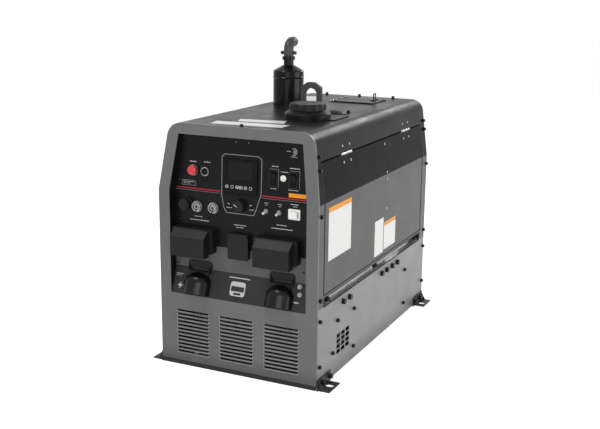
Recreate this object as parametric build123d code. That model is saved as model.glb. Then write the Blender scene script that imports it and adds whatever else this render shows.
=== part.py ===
from build123d import *
import math
import os

# Engine driven welder, in millimetres.
# +X is the right side seen from the front, the control face looks along -Y,
# +Z is up, and the origin is on the floor midway between the four foot slots.

# ---------------------------------------------------------------- case sizes
CASE_W = 546.0          # width below the belt line
CASE_L = 990.0          # length over the front and rear sheets
CASE_H = 778.0          # roof above the floor
BELT_Z = 571.0          # height where the sides start to lean in
LEAN = 27.5             # how far each side leans in by the roof
NOSE_BACK = 25.0        # how far the front face leans back by the roof
ROOF_R = 45.0           # bend between side and roof
SHEET = 2.0             # case sheet thickness
JOINT_GAP = 0.5         # gap between neighbouring case sheets
FRONT_RETURN = 9.0      # return of the front sheet round the case
LAP = 25.0              # width of the laps under the side sheets
SKIRT_Z = 693.5         # lower edge of the roof skirt
LEDGE_Z = 254.0         # top of the lower side panels
LEDGE_W = 48.0          # width of their inward flange
SLOT_TOP_Z = 280.0      # top of the long slot above the ledge
PAN_Z = 6.0             # underside of the floor pan
PAN_T = 4.0

# doors
DOOR_Z0 = 292.5
DOOR_TOP_GAP = 4.5
DOOR_Y0 = -447.0
DOOR_Y1 = 438.0
DOOR_GAP = 2.0
DOOR_DEPTH = 12.0
HINGE_YS = (-258.0, 282.0)
HINGE_L = 80.0
HINGE_R = 4.0
PIN_R = 1.8
RUN_FIT = 0.05          # radial clearance of every running fit
CLEAR = 0.3             # clearance of parts that only sit close
SEAT_FIT = 0.15         # clearance of the bearings in their seats

# front opening and recessed panel
OPEN_Z0 = 240.0
OPEN_W = 470.0
OPEN_TOP_Z = 745.0
OPEN_TOP_W = 422.0
PANEL_DEPTH = 34.0
PANEL_TOP_DEPTH = 22.0
PANEL_FOLD_Z = 565.0
PANEL_SPLIT_Z = 400.0
OUT_FOLD_Z = 322.0
PANEL_T = 2.0

# running gear
SHAFT_Z = 290.0
SHAFT_R = 20.0
STATOR_R = 138.0
STATOR_BORE_R = 92.0
STATOR_Y0 = -250.0
STATOR_Y1 = 62.0
AIR_GAP = 2.0
RAIL_X = 100.0
RAIL_W = 50.0
RAIL_TOP_Z = 60.0
MOUNT_TOP_Z = 95.0

# roof fittings
FILLER_X = 90.0
FILLER_Y = -183.0
CAP_R = 59.0
MUFF_X = -132.0
MUFF_Y = 129.0
MUFF_R = 54.0
BAIL_Y = 39.0
BAIL_W = 78.0
BAIL_T = 14.0
HATCH_X0 = -18.0
HATCH_X1 = 136.0
HATCH_Y0 = 262.0
HATCH_Y1 = 408.0

# feet
FOOT_L = 100.0
FOOT_OUT = 41.0
FOOT_H = 34.5
FOOT_T = 4.0
SLOT_X = 294.0
SLOT_Y = 440.0
SLOT_R = 11.5
SLOT_LEN = 27.0

W2 = CASE_W / 2
L2 = CASE_L / 2
RISE = CASE_H - BELT_Z
K_SIDE = LEAN / RISE
K_NOSE = NOSE_BACK / RISE
SIDE_TILT = math.degrees(math.atan(K_SIDE))
PANEL_Y = -L2 + PANEL_DEPTH
PANEL_TOP_Y = -L2 + K_NOSE * (OPEN_TOP_Z - BELT_Z) + PANEL_TOP_DEPTH
K_PANEL = (PANEL_TOP_Y - PANEL_Y) / (OPEN_TOP_Z - PANEL_FOLD_Z)
OUT_FOOT_Y = -L2 + SHEET
K_OUT = (PANEL_Y - OUT_FOOT_Y) / (OUT_FOLD_Z - OPEN_Z0)
DOOR_Z1 = SKIRT_Z - DOOR_TOP_GAP
HINGE_Z = SKIRT_Z - DOOR_TOP_GAP / 2

os.makedirs("parts", exist_ok=True)


def side_x(z):
    return W2 - max(0.0, z - BELT_Z) * K_SIDE


def box(x0, x1, y0, y1, z0, z1):
    b = Box(x1 - x0, y1 - y0, z1 - z0)
    return Pos((x0 + x1) / 2, (y0 + y1) / 2, (z0 + z1) / 2) * b


def xz_prism(points, y0, y1):
    face = make_face(Polyline([(x, 0, z) for x, z in points], close=True))
    return Pos(0, y1, 0) * extrude(face, amount=y1 - y0, dir=(0, -1, 0))


def yz_prism(points, x0, x1):
    face = make_face(Polyline([(0, y, z) for y, z in points], close=True))
    return Pos(x0, 0, 0) * extrude(face, amount=x1 - x0, dir=(1, 0, 0))


def xy_prism(points, z0, z1):
    face = make_face(Polyline([(x, y, 0) for x, y in points], close=True))
    return Pos(0, 0, z0) * extrude(face, amount=z1 - z0, dir=(0, 0, 1))


def rod(p0, p1, r):
    # round bar from p0 to p1
    axis = Vector(*p1) - Vector(*p0)
    face = Plane(origin=p0, z_dir=axis.normalized()) * Circle(r)
    return extrude(face, amount=axis.length, dir=axis.normalized())


def case_core(off, y0, y1, z0):
    # solid with the outline of the case, inset by off
    a = W2 - off
    top = CASE_H - off
    b = W2 - LEAN - off + K_SIDE * off
    foot = min(z0, BELT_Z - 20.0)
    pts = [(-a, foot), (-a, BELT_Z), (-b, top), (b, top), (a, BELT_Z), (a, foot)]
    body = xz_prism(pts, y0, y1)
    edges = body.edges().filter_by(Axis.Y).group_by(Axis.Z)[-1]
    body = fillet(edges, max(ROOF_R - off, 5.0))
    if z0 > foot:
        body -= box(-W2 - 10, W2 + 10, y0 - 10, y1 + 10, foot - 10, z0)
    return body


def behind_front(d):
    # everything that lies d or more behind the front face
    f = -L2 + d
    top = CASE_H + 60.0
    pts = [(f, -20.0), (f, BELT_Z), (f + K_NOSE * (top - BELT_Z), top), (L2 + 60.0, top), (L2 + 60.0, -20.0)]
    return yz_prism(pts, -W2 - 60.0, W2 + 60.0)


def case_ring(a, b, y0, y1, z0):
    # the case skin between the insets a and b
    return case_core(a, y0, y1, z0) - case_core(b, y0 - 1.0, y1 + 1.0, z0 - 1.0)


def mirror_x(shape):
    return mirror(shape, about=Plane.YZ)


def save(name, shape):
    if isinstance(shape, (list, tuple)):
        shape = Compound(children=list(shape)) if len(shape) > 1 else shape[0]
    export_step(shape, "parts/" + name + ".step")


# ------------------------------------------------------------- case fasteners
# each screw: hex head on the skin, shank through the sheets behind it
SCREW_HEAD_R = 6.0
SCREW_HEAD_H = 8.5
SCREW_R = 2.9
WASHER_FACTOR = 1.12
WASHER_H = 1.4
SCREW_LEN = 9.0
BOLT_HEAD_R = 9.0
BOLT_HEAD_H = 10.5
RIVET_R = 2.0
RIVET_HEAD_R = 4.2
RIVET_HEAD_H = 1.6
FRONT_SCREW_Y = -L2 + 18.0
REAR_SCREW_Y = L2 - 13.0
FRONT_SCREW_Z = (72.0, 216.0, 281.0, 537.0, 669.0, 709.0)
REAR_SCREW_Z = (80.0, 219.0, 284.0, 541.0, 670.0, 702.0)
SIDE_SCREWS = ((-343.0, 179.0), (-378.0, 83.0), (-209.0, 49.0), (-209.0, 178.0), (278.0, 178.0), (275.0, 51.0))
SIDE_BOLTS = ((-300.0, 229.0), (-250.0, 229.0), (37.0, 229.0), (86.0, 229.0), (141.0, 229.0), (192.0, 229.0))
ROOF_SCREWS = ((0.0, -456.0), (-136.0, 478.0), (0.0, 478.0), (136.0, 478.0), (150.0, 9.0))


def side_place(y, z):
    # frame on the right skin at (y, z), its z axis pointing out of the case
    if z > BELT_Z:
        out = Vector(1.0, 0.0, K_SIDE).normalized()
    else:
        out = Vector(1.0, 0.0, 0.0)
    return Plane(origin=(side_x(z), y, z), x_dir=(0, 1, 0), z_dir=out)


def hex_screw(plane, head_r, head_h, r, length):
    head = extrude(plane * RegularPolygon(head_r, 6), amount=head_h, dir=plane.z_dir)
    head += extrude(plane * Circle(head_r * WASHER_FACTOR), amount=WASHER_H, dir=plane.z_dir)
    shank = extrude(plane * Circle(r), amount=length, dir=-plane.z_dir)
    return head + shank


def hole(plane, r, depth):
    start = Plane(origin=plane.origin + plane.z_dir, x_dir=plane.x_dir, z_dir=plane.z_dir)
    return extrude(start * Circle(r), amount=depth + 1.0, dir=-plane.z_dir)


screws = []
side_holes = []
roof_holes = []
for z in FRONT_SCREW_Z:
    pl = side_place(FRONT_SCREW_Y + K_NOSE * max(0.0, z - BELT_Z), z)
    screws.append(hex_screw(pl, SCREW_HEAD_R, SCREW_HEAD_H, SCREW_R, SCREW_LEN))
    side_holes.append(hole(pl, SCREW_R + RUN_FIT, SCREW_LEN + 1.0))
for z in REAR_SCREW_Z:
    pl = side_place(REAR_SCREW_Y, z)
    screws.append(hex_screw(pl, SCREW_HEAD_R, SCREW_HEAD_H, SCREW_R, SCREW_LEN))
    side_holes.append(hole(pl, SCREW_R + RUN_FIT, SCREW_LEN + 1.0))
for y, z in SIDE_SCREWS:
    pl = side_place(y, z)
    screws.append(hex_screw(pl, SCREW_HEAD_R, SCREW_HEAD_H, SCREW_R, SCREW_LEN))
    side_holes.append(hole(pl, SCREW_R + RUN_FIT, SCREW_LEN + 1.0))
for y, z in SIDE_BOLTS:
    pl = side_place(y, z)
    screws.append(hex_screw(pl, BOLT_HEAD_R, BOLT_HEAD_H, SCREW_R + 1.0, SCREW_LEN + 3.0))
    side_holes.append(hole(pl, SCREW_R + 1.0 + RUN_FIT, SCREW_LEN + 4.0))
left_screws = [mirror_x(s) for s in screws]
left_holes = [mirror_x(h) for h in side_holes]
for x, y in ROOF_SCREWS:
    pl = Plane(origin=(x, y, CASE_H), z_dir=(0, 0, 1))
    screws.append(hex_screw(pl, SCREW_HEAD_R, SCREW_HEAD_H, SCREW_R, SCREW_LEN))
    roof_holes.append(hole(pl, SCREW_R + RUN_FIT, SCREW_LEN + 1.0))
both_holes = side_holes + left_holes

# ---------------------------------------------------------------- front sheet
FRONT_Z0 = 11.0
VENT_COLS = ((-213.0, -98.0), (-59.0, 58.0), (97.0, 213.0))
VENT_Z0 = 45.0
VENT_PITCH = 12.4
VENT_ROWS = 12
VENT_SLOT_H = 6.0
LIP_OUT = 2.4

LAP_IN = SHEET + 0.05       # the laps sit just inside the skins

open_half = OPEN_W / 2
open_top_half = OPEN_TOP_W / 2
opening_pts = [(-open_half, OPEN_Z0), (open_half, OPEN_Z0), (open_half, BELT_Z)]
opening_pts += [(open_top_half, OPEN_TOP_Z), (-open_top_half, OPEN_TOP_Z), (-open_half, BELT_Z)]

shell = case_core(0, -L2 - 5, -L2 + LAP + 40, FRONT_Z0) & behind_front(0)
shell -= case_core(SHEET, -L2 - 5, L2, FRONT_Z0 - 1) & behind_front(SHEET)
shell -= behind_front(FRONT_RETURN)
lap = case_ring(LAP_IN, 2 * SHEET, -L2, -L2 + LAP + 60, FRONT_Z0) & behind_front(SHEET)
lap -= behind_front(SHEET + LAP)
front = shell + lap
front -= xz_prism(opening_pts, -L2 - 20, -L2 + 60)
slots = []
lips = []
for x0, x1 in VENT_COLS:
    for i in range(VENT_ROWS):
        z = VENT_Z0 + i * VENT_PITCH
        slots.append(box(x0, x1, -L2 - 1, -L2 + SHEET + 1, z, z + VENT_SLOT_H))
        lip = [(-L2, z), (-L2 - LIP_OUT, z - 2.6), (-L2 - LIP_OUT, z - 3.8), (-L2, z - 2.4)]
        lips.append(yz_prism(lip, x0 + 1.0, x1 - 1.0))
front -= slots
front += lips
front -= both_holes + roof_holes
save("front_frame", front)

# ----------------------------------------------------------------- rear sheet
REAR_Z0 = 11.0
REAR_VENT = (-170.0, 170.0)
REAR_VENT_Z0 = 130.0
REAR_VENT_ROWS = 20
REAR_VENT_PITCH = 16.0

rear = case_core(0, L2 - SHEET, L2, REAR_Z0)
rear_lap = case_ring(LAP_IN, 2 * SHEET, L2 - SHEET - LAP, L2 - SHEET, REAR_Z0)
rear += rear_lap
slots = []
lips = []
for i in range(REAR_VENT_ROWS):
    z = REAR_VENT_Z0 + i * REAR_VENT_PITCH
    slots.append(box(REAR_VENT[0], -6, L2 - SHEET - 1, L2 + 1, z, z + 8.0))
    slots.append(box(6, REAR_VENT[1], L2 - SHEET - 1, L2 + 1, z, z + 8.0))
rear -= slots
rear -= both_holes + roof_holes
save("rear_panel", rear)

# ----------------------------------------------------------------------- roof
# pressed cover with bent skirts down both sides
LOUVRE_GAP = 1.5
HATCH_LIP = 10.0
FILLER_HOLE_R = 47.0

roof_y1 = L2 - SHEET - JOINT_GAP
roof = case_ring(0, SHEET, -L2, roof_y1, SKIRT_Z) & behind_front(FRONT_RETURN + JOINT_GAP)
roof -= Pos(MUFF_X, MUFF_Y, CASE_H) * Cylinder(MUFF_R + CLEAR, 20)
roof -= Pos(FILLER_X, FILLER_Y, CASE_H) * Cylinder(FILLER_HOLE_R, 20)
bail_slot = (BAIL_W / 2 + 1.0, BAIL_T / 2 + 1.0)
roof -= box(-bail_slot[0], bail_slot[0], BAIL_Y - bail_slot[1], BAIL_Y + bail_slot[1], CASE_H - 10, CASE_H + 10)
hatch_hole = (HATCH_X0 + HATCH_LIP, HATCH_X1 - HATCH_LIP, HATCH_Y0 + HATCH_LIP, HATCH_Y1 - HATCH_LIP)
roof -= box(hatch_hole[0], hatch_hole[1], hatch_hole[2], hatch_hole[3], CASE_H - 10, CASE_H + 10)
knuckle_cut = HINGE_R + CLEAR
hinge_cuts = []
for y in HINGE_YS:
    x = side_x(HINGE_Z)
    hinge_cuts.append(box(x - 12, x + 12, y - HINGE_L / 2 - 1, y + HINGE_L / 2 + 1,
                          HINGE_Z - knuckle_cut - 0.4, HINGE_Z + knuckle_cut + 0.4))
hinge_cuts += [mirror_x(c) for c in hinge_cuts]
roof -= hinge_cuts

# hinge rivets, through the leaf and the skin
RIVET_UP = 25.0
RIVET_DOWN = 25.0
RIVET_DY = 27.0
LEAF_T = 1.6
roof_rivets = []
door_rivets = []
roof_rivet_holes = []
door_rivet_holes = []
for y in HINGE_YS:
    for dy in (-RIVET_DY, RIVET_DY):
        up = side_place(y + dy, HINGE_Z + RIVET_UP)
        down = side_place(y + dy, HINGE_Z - RIVET_DOWN)
        for pl, rivets, cuts in ((up, roof_rivets, roof_rivet_holes), (down, door_rivets, door_rivet_holes)):
            head = extrude(pl * Circle(RIVET_HEAD_R), amount=RIVET_HEAD_H, dir=pl.z_dir)
            shank = extrude(pl * Circle(RIVET_R), amount=SHEET + LEAF_T, dir=-pl.z_dir)
            rivets.append(head + shank)
            cuts.append(hole(pl, RIVET_R + RUN_FIT, SHEET + LEAF_T + 1.0))
roof -= roof_rivet_holes + [mirror_x(c) for c in roof_rivet_holes]
roof -= both_holes + roof_holes
save("roof_cover", roof)

# --------------------------------------------------------- door frames, sides
FRAME_Y0 = -L2 + FRONT_RETURN + JOINT_GAP
FRAME_Y1 = L2 - SHEET - JOINT_GAP
POST_TOP = SKIRT_Z - JOINT_GAP
STOP_W = 14.0
STOP_IN = DOOR_DEPTH + 0.6
TAB_TOP = 724.0


def right_ring(a, b, y0, y1, z0, z1):
    ring = case_ring(a, b, y0, y1, z0)
    return ring & box(0, W2 + 10, y0 - 1, y1 + 1, z0 - 1, z1)


open_y0 = DOOR_Y0 - DOOR_GAP
open_y1 = DOOR_Y1 + DOOR_GAP
open_z0 = DOOR_Z0 - DOOR_GAP
frame = right_ring(0, SHEET, FRAME_Y0, FRAME_Y1, LEDGE_Z + CLEAR, POST_TOP)
frame &= behind_front(FRONT_RETURN + JOINT_GAP)
frame -= box(0, W2 + 20, open_y0, open_y1, open_z0, CASE_H)
frame -= box(0, W2 + 20, open_y0 + 1.5, open_y1 - 1.5, LEDGE_Z - 1, SLOT_TOP_Z)
jamb = right_ring(SHEET, STOP_IN + SHEET, open_y0 - SHEET, open_y1 + SHEET, open_z0 - SHEET, POST_TOP)
jamb -= box(0, W2 + 20, open_y0, open_y1, open_z0, CASE_H)
stop = right_ring(STOP_IN, STOP_IN + SHEET, open_y0 - 0.5, open_y1 + 0.5, open_z0 - 0.5, POST_TOP)
stop -= box(0, W2 + 20, open_y0 + STOP_W, open_y1 - STOP_W, open_z0 + STOP_W, CASE_H)
tab_f = right_ring(SHEET, 2 * SHEET, -L2, open_y0, POST_TOP - 12, TAB_TOP) & behind_front(SHEET + LAP + 1.0)
tab_r = right_ring(SHEET, 2 * SHEET, open_y1, L2 - SHEET - LAP - 1.0, POST_TOP - 12, TAB_TOP)
frame = frame + [jamb, stop, tab_f, tab_r]
frame -= side_holes
save("door_frames", [frame, mirror_x(frame)])

# ---------------------------------------------------------- lower side panels
GRID_Y0 = -344.0
GRID_Y1 = -242.0
GRID_Z0 = 65.5
GRID_COLS = 3
GRID_ROWS = 4
GRID_W = 30.0
GRID_H = 14.0
GRID_PITCH = 17.3
BUMPERS = (-385.0, 20.0, 437.0)
BUMPER_X = 256.0
UPSTAND = 24.0

side = box(W2 - SHEET, W2, FRAME_Y0, FRAME_Y1, PAN_Z - SHEET, LEDGE_Z)
side += box(W2 - LEDGE_W, W2, -L2 + SHEET + LAP + 1, L2 - SHEET - LAP - 1, LEDGE_Z - SHEET, LEDGE_Z)
side += box(W2 - LEDGE_W, W2 - LEDGE_W + SHEET, -L2 + SHEET + LAP + 1, L2 - SHEET - LAP - 1, LEDGE_Z - SHEET, LEDGE_Z + UPSTAND)
side += box(W2 - LEDGE_W, W2, FRAME_Y0, FRAME_Y1, PAN_Z - SHEET, PAN_Z)
grid = []
for i in range(GRID_COLS):
    y = GRID_Y0 + i * (GRID_Y1 - GRID_Y0 - GRID_W) / (GRID_COLS - 1)
    for j in range(GRID_ROWS):
        z = GRID_Z0 + j * GRID_PITCH
        grid.append(box(W2 - 5, W2 + 5, y, y + GRID_W, z, z + GRID_H))
side -= grid
side -= side_holes
foot_bolts = []
foot_holes = []
FOOT_BOLT_Z = 19.0
for y in (-404.0, -461.0, 404.0, 461.0):
    pl = Plane(origin=(W2 + FOOT_T, y, FOOT_BOLT_Z), x_dir=(0, 1, 0), z_dir=(1, 0, 0))
    foot_bolts.append(hex_screw(pl, BOLT_HEAD_R - 1, BOLT_HEAD_H, SCREW_R + 1.0, SCREW_LEN + 3.0))
    foot_holes.append(hole(pl, SCREW_R + 1.0 + RUN_FIT, SCREW_LEN + 6.0))
side -= foot_holes
bumpers = []
for y in BUMPERS:
    pl = Plane(origin=(BUMPER_X, y, LEDGE_Z), z_dir=(0, 0, 1))
    bumpers.append(hex_screw(pl, BOLT_HEAD_R, 10.0, SCREW_R + 1.0, 8.0))
    side -= hole(pl, SCREW_R + 1.0 + RUN_FIT, 10.0)
save("base_sides", [side, mirror_x(side)])

fasteners = screws + left_screws + foot_bolts + [mirror_x(b) for b in foot_bolts]
fasteners += bumpers + [mirror_x(b) for b in bumpers]
save("case_fasteners", fasteners)

# ----------------------------------------------------------------------- feet
foot_y1 = -L2 + 2.0 + FOOT_L
TOE_FRONT = 7.0
TOE_SHORT = 14.0
foot = box(W2, W2 + FOOT_T, -L2 + 2.0, foot_y1, 0, FOOT_H)
foot += box(W2, W2 + FOOT_OUT, -L2 + TOE_FRONT, foot_y1 - TOE_SHORT, 0, FOOT_T)
gusset = [(W2, FOOT_H - 5), (W2 + FOOT_T + 1, FOOT_H - 5), (W2 + FOOT_OUT * 0.5, FOOT_T), (W2, FOOT_T)]
foot += xz_prism(gusset, -L2 + TOE_FRONT + 2, -L2 + TOE_FRONT + 2 + FOOT_T)
slot_c = SLOT_LEN / 2 - SLOT_R
slot = box(SLOT_X - slot_c, SLOT_X + slot_c, -SLOT_Y - SLOT_R, -SLOT_Y + SLOT_R, -1, FOOT_T + 1)
for dx in (-slot_c, slot_c):
    slot += Pos(SLOT_X + dx, -SLOT_Y, FOOT_T / 2) * Cylinder(SLOT_R, FOOT_T + 2)
foot -= slot
foot -= foot_holes
rear_foot = mirror(foot, about=Plane.XZ)
feet = [foot, rear_foot, mirror_x(foot), mirror_x(rear_foot)]
save("mounting_feet", feet)

# ---------------------------------------------------------------------- doors
def make_door():
    blank = right_ring(0, DOOR_DEPTH, DOOR_Y0, DOOR_Y1, DOOR_Z0, DOOR_Z1)
    inner = right_ring(SHEET, DOOR_DEPTH + 5, DOOR_Y0 + SHEET, DOOR_Y1 - SHEET, DOOR_Z0 + SHEET, DOOR_Z1 - SHEET)
    door = blank - inner
    door -= hinge_cuts
    return door - door_rivet_holes


door = make_door()
BADGE_RIVETS = ((67.0, 673.0), (67.0, 578.0), (67.0, 555.0), (70.0, 452.0))
for y, z in BADGE_RIVETS:
    pl = side_place(y, z)
    head = extrude(pl * Circle(RIVET_HEAD_R), amount=RIVET_HEAD_H, dir=pl.z_dir)
    shank = extrude(pl * Circle(RIVET_R), amount=SHEET + 1.5, dir=-pl.z_dir)
    door_rivets.append(head + shank)
    door -= hole(pl, RIVET_R + RUN_FIT, SHEET + 2.0)
save("door_right", door)
save("door_left", mirror_x(door))

# --------------------------------------------------------------- door hinges
# three knuckles of each hinge: the outer two on the roof leaf, the middle one
# on the door leaf, all on one pin
KNUCKLE_GAP = 0.4
hinge_x = side_x(HINGE_Z) - SHEET / 2
roof_leaves = []
door_leaves = []
for y in HINGE_YS:
    third = HINGE_L / 3
    y0 = y - HINGE_L / 2
    y1 = y + HINGE_L / 2
    pin = rod((hinge_x, y0 - 1.0, HINGE_Z), (hinge_x, y1 + 1.0, HINGE_Z), PIN_R)
    barrel = rod((hinge_x, y0, HINGE_Z), (hinge_x, y1, HINGE_Z), HINGE_R)
    bore = rod((hinge_x, y0 - 2, HINGE_Z), (hinge_x, y1 + 2, HINGE_Z), PIN_R + RUN_FIT)
    mid = box(0, W2 + 20, y0 + third, y1 - third, HINGE_Z - 60, HINGE_Z + 60)
    mid_cut = box(0, W2 + 20, y0 + third - KNUCKLE_GAP, y1 - third + KNUCKLE_GAP, HINGE_Z - 60, HINGE_Z + 60)
    leaf_up = right_ring(SHEET, SHEET + LEAF_T, y0, y1, HINGE_Z, HINGE_Z + RIVET_UP + 10)
    leaf_dn = right_ring(SHEET, SHEET + LEAF_T, y0, y1, HINGE_Z - RIVET_DOWN - 10, HINGE_Z)
    leaf_up -= box(0, W2 + 20, y0 + third - 1, y1 - third + 1, HINGE_Z - 60, HINGE_Z + HINGE_R + 1.0)
    for yy in (y0 - 1, y1 - third - 1):
        leaf_dn -= box(0, W2 + 20, yy, yy + third + 2, HINGE_Z - HINGE_R - 1.0, HINGE_Z + 60)
    up_leaf = leaf_up + (barrel - mid_cut) + pin
    dn_leaf = leaf_dn + (barrel & mid)
    up_leaf -= roof_rivet_holes
    dn_leaf -= [bore] + door_rivet_holes
    roof_leaves.append(up_leaf)
    door_leaves.append(dn_leaf)
save("hinge_leaves_door_right", door_leaves + door_rivets)
save("hinge_leaves_door_left", [mirror_x(s) for s in door_leaves + door_rivets])

# --------------------------------------------------------------- recessed tray
# black sheet: two panel facets and the walls back from the front opening
def slant_y(z):
    # front surface of the recessed panel at height z
    if z > PANEL_FOLD_Z:
        return PANEL_Y + (z - PANEL_FOLD_Z) * K_PANEL
    if z < OUT_FOLD_Z:
        return PANEL_Y - (OUT_FOLD_Z - z) * K_OUT
    return PANEL_Y


def upper_at(x, z):
    # frame on the upper facet, z axis out of the panel, y axis up the panel
    n = Vector(0.0, -1.0, K_PANEL).normalized()
    return Plane(origin=(x, slant_y(z), z), x_dir=(1, 0, 0), z_dir=n)


def flat_at(x, z):
    return Plane(origin=(x, PANEL_Y, z), x_dir=(1, 0, 0), z_dir=(0, -1, 0))


def foot_at(x, z):
    # frame on the sloping output facet
    n = Vector(0.0, -1.0, K_OUT).normalized()
    return Plane(origin=(x, slant_y(z), z), x_dir=(1, 0, 0), z_dir=n)


def local_box(pl, x0, x1, y0, y1, z0, z1):
    b = Pos((x0 + x1) / 2, (y0 + y1) / 2, (z0 + z1) / 2) * Box(x1 - x0, y1 - y0, z1 - z0)
    return pl.location * b


def local_cyl(pl, r, z0, z1, x=0.0, y=0.0):
    return pl.location * (Pos(x, y, (z0 + z1) / 2) * Cylinder(r, z1 - z0))


WALL_T = 2.0
wall_front = [(-L2 + SHEET, OPEN_Z0), (-L2 + SHEET, BELT_Z)]
wall_front += [(-L2 + SHEET + K_NOSE * (OPEN_TOP_Z + WALL_T - BELT_Z), OPEN_TOP_Z + WALL_T)]
wall_back = [(slant_y(OPEN_TOP_Z + WALL_T) + PANEL_T, OPEN_TOP_Z + WALL_T), (PANEL_Y + PANEL_T, PANEL_FOLD_Z)]
wall_back += [(PANEL_Y + PANEL_T, OUT_FOLD_Z), (OUT_FOOT_Y + PANEL_T, OPEN_Z0)]
tray_side = yz_prism(wall_front + wall_back, -W2, W2)
o1 = open_half + WALL_T
o2 = open_top_half + WALL_T
outer_pts = [(-o1, OPEN_Z0), (o1, OPEN_Z0), (o1, BELT_Z), (o2, OPEN_TOP_Z + WALL_T), (-o2, OPEN_TOP_Z + WALL_T), (-o1, BELT_Z)]
tray_block = xz_prism(outer_pts, -L2, -L2 + 120) & tray_side
tray_walls = tray_block - xz_prism(opening_pts[:2] + opening_pts[2:], -L2 - 5, -L2 + 130)
facet_pts = [(PANEL_Y, PANEL_SPLIT_Z + CLEAR / 2), (PANEL_Y, PANEL_FOLD_Z), (slant_y(OPEN_TOP_Z + 1), OPEN_TOP_Z + 1)]
facet_pts += [(slant_y(OPEN_TOP_Z + 1) + PANEL_T, OPEN_TOP_Z + 1), (PANEL_Y + PANEL_T, PANEL_FOLD_Z)]
facet_pts += [(PANEL_Y + PANEL_T, PANEL_SPLIT_Z + CLEAR / 2)]
facets = yz_prism(facet_pts, -W2, W2) & xz_prism(outer_pts, -L2, -L2 + 120)
tray = tray_walls + facets

# panel controls: (x, z)
RED_AT = (-168.0, 633.0)
BLACK_AT = (-126.0, 632.0)
ROCKER_AT = ((108.0, 633.0), (174.0, 632.0))
LAMP_AT = (140.5, 635.0)
LED_AT = ((-20.0, 731.0), (24.0, 731.0))
DISPLAY_AT = (-3.0, 626.0)
DISPLAY_W = 118.0
DISPLAY_H = 106.0
KNOB_AT = (-1.0, 539.0)
KNOB_R = 20.0
CONN_AT = ((-192.0, 526.0), (-153.0, 521.0), (-95.0, 522.0))
TOGGLE_AT = ((86.0, 531.0), (130.0, 531.0))
BOOT_AT = (180.0, 531.0)

panel_cuts = []
bezels = []
housings = []

# display module: bezel with a recessed screen, its box behind the panel
pl = upper_at(*DISPLAY_AT)
body = pl.location * extrude(RectangleRounded(DISPLAY_W, DISPLAY_H, 8), amount=6.0)
body = chamfer(body.faces().sort_by(Axis.Y)[0].edges(), 1.2)
body -= local_box(pl, -45, 45, -10, 46, 4.6, 7)
KEYS = ((-43.0, 9.0), (-25.0, 9.0), (-1.0, 26.0), (21.0, 9.0), (38.0, 9.0))
for kx, kw in KEYS:
    body += pl.location * (Pos(kx, -31.0, 5.9) * extrude(RectangleRounded(kw, 9.0, 4.4), amount=0.9))
body += local_box(pl, -50, 50, -44, 44, -22, 0.1)
panel_cuts.append(local_box(pl, -50 - CLEAR, 50 + CLEAR, -44 - CLEAR, 44 + CLEAR, -10, 5))
save("display_module", body)


# push buttons: ring through the panel, button sliding in it
def ring(pl, r_out, r_in, height, collar_r, depth):
    body = local_cyl(pl, r_out, 0, height) + local_cyl(pl, collar_r, -depth, 0)
    return body - local_cyl(pl, r_in, -depth - 1, height + 1)


RED_R = 15.0
RED_STEM = 8.0
pl = upper_at(*RED_AT)
bezels.append(ring(pl, 17.0, RED_STEM + RUN_FIT, 3.0, 10.5, 14.0))
panel_cuts.append(local_cyl(pl, 10.5 + CLEAR, -10, 5))
red = local_cyl(pl, RED_R, 6.5, 15.0)
red = fillet(red.edges().group_by(Axis.Y)[0], 2.5)
red += local_cyl(pl, RED_STEM, -12.0, 6.6)
save("red_button", red)
BLACK_R = 10.5
pl = upper_at(*BLACK_AT)
bezels.append(ring(pl, 14.0, BLACK_R + RUN_FIT, 5.0, 12.0, 12.0))
panel_cuts.append(local_cyl(pl, 12.0 + CLEAR, -10, 5))
black = local_cyl(pl, BLACK_R, -10.0, 9.0)
black = fillet(black.edges().group_by(Axis.Y)[0], 1.5)
save("black_button", black)

# lamp lens and the two small indicator lenses
lens = upper_at(*LAMP_AT)
lamp = local_cyl(lens, 7.5, -8.0, 0.1)
dome = Sphere(12.0) & (Pos(0, 0, 9.0 + 10.0) * Cylinder(14.0, 20.0))
lamp += lens.location * (Pos(0, 0, -7.5) * dome)
lamp += local_cyl(lens, 9.5, 0, 1.6)
panel_cuts.append(local_cyl(lens, 7.5 + CLEAR, -10, 5))
lenses = [lamp]
for x, z in LED_AT:
    pl = upper_at(x, z)
    lenses.append(local_cyl(pl, 2.5, -6, 2.0))
    panel_cuts.append(local_cyl(pl, 2.5 + CLEAR, -10, 5))
save("indicator_lenses", lenses)

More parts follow.
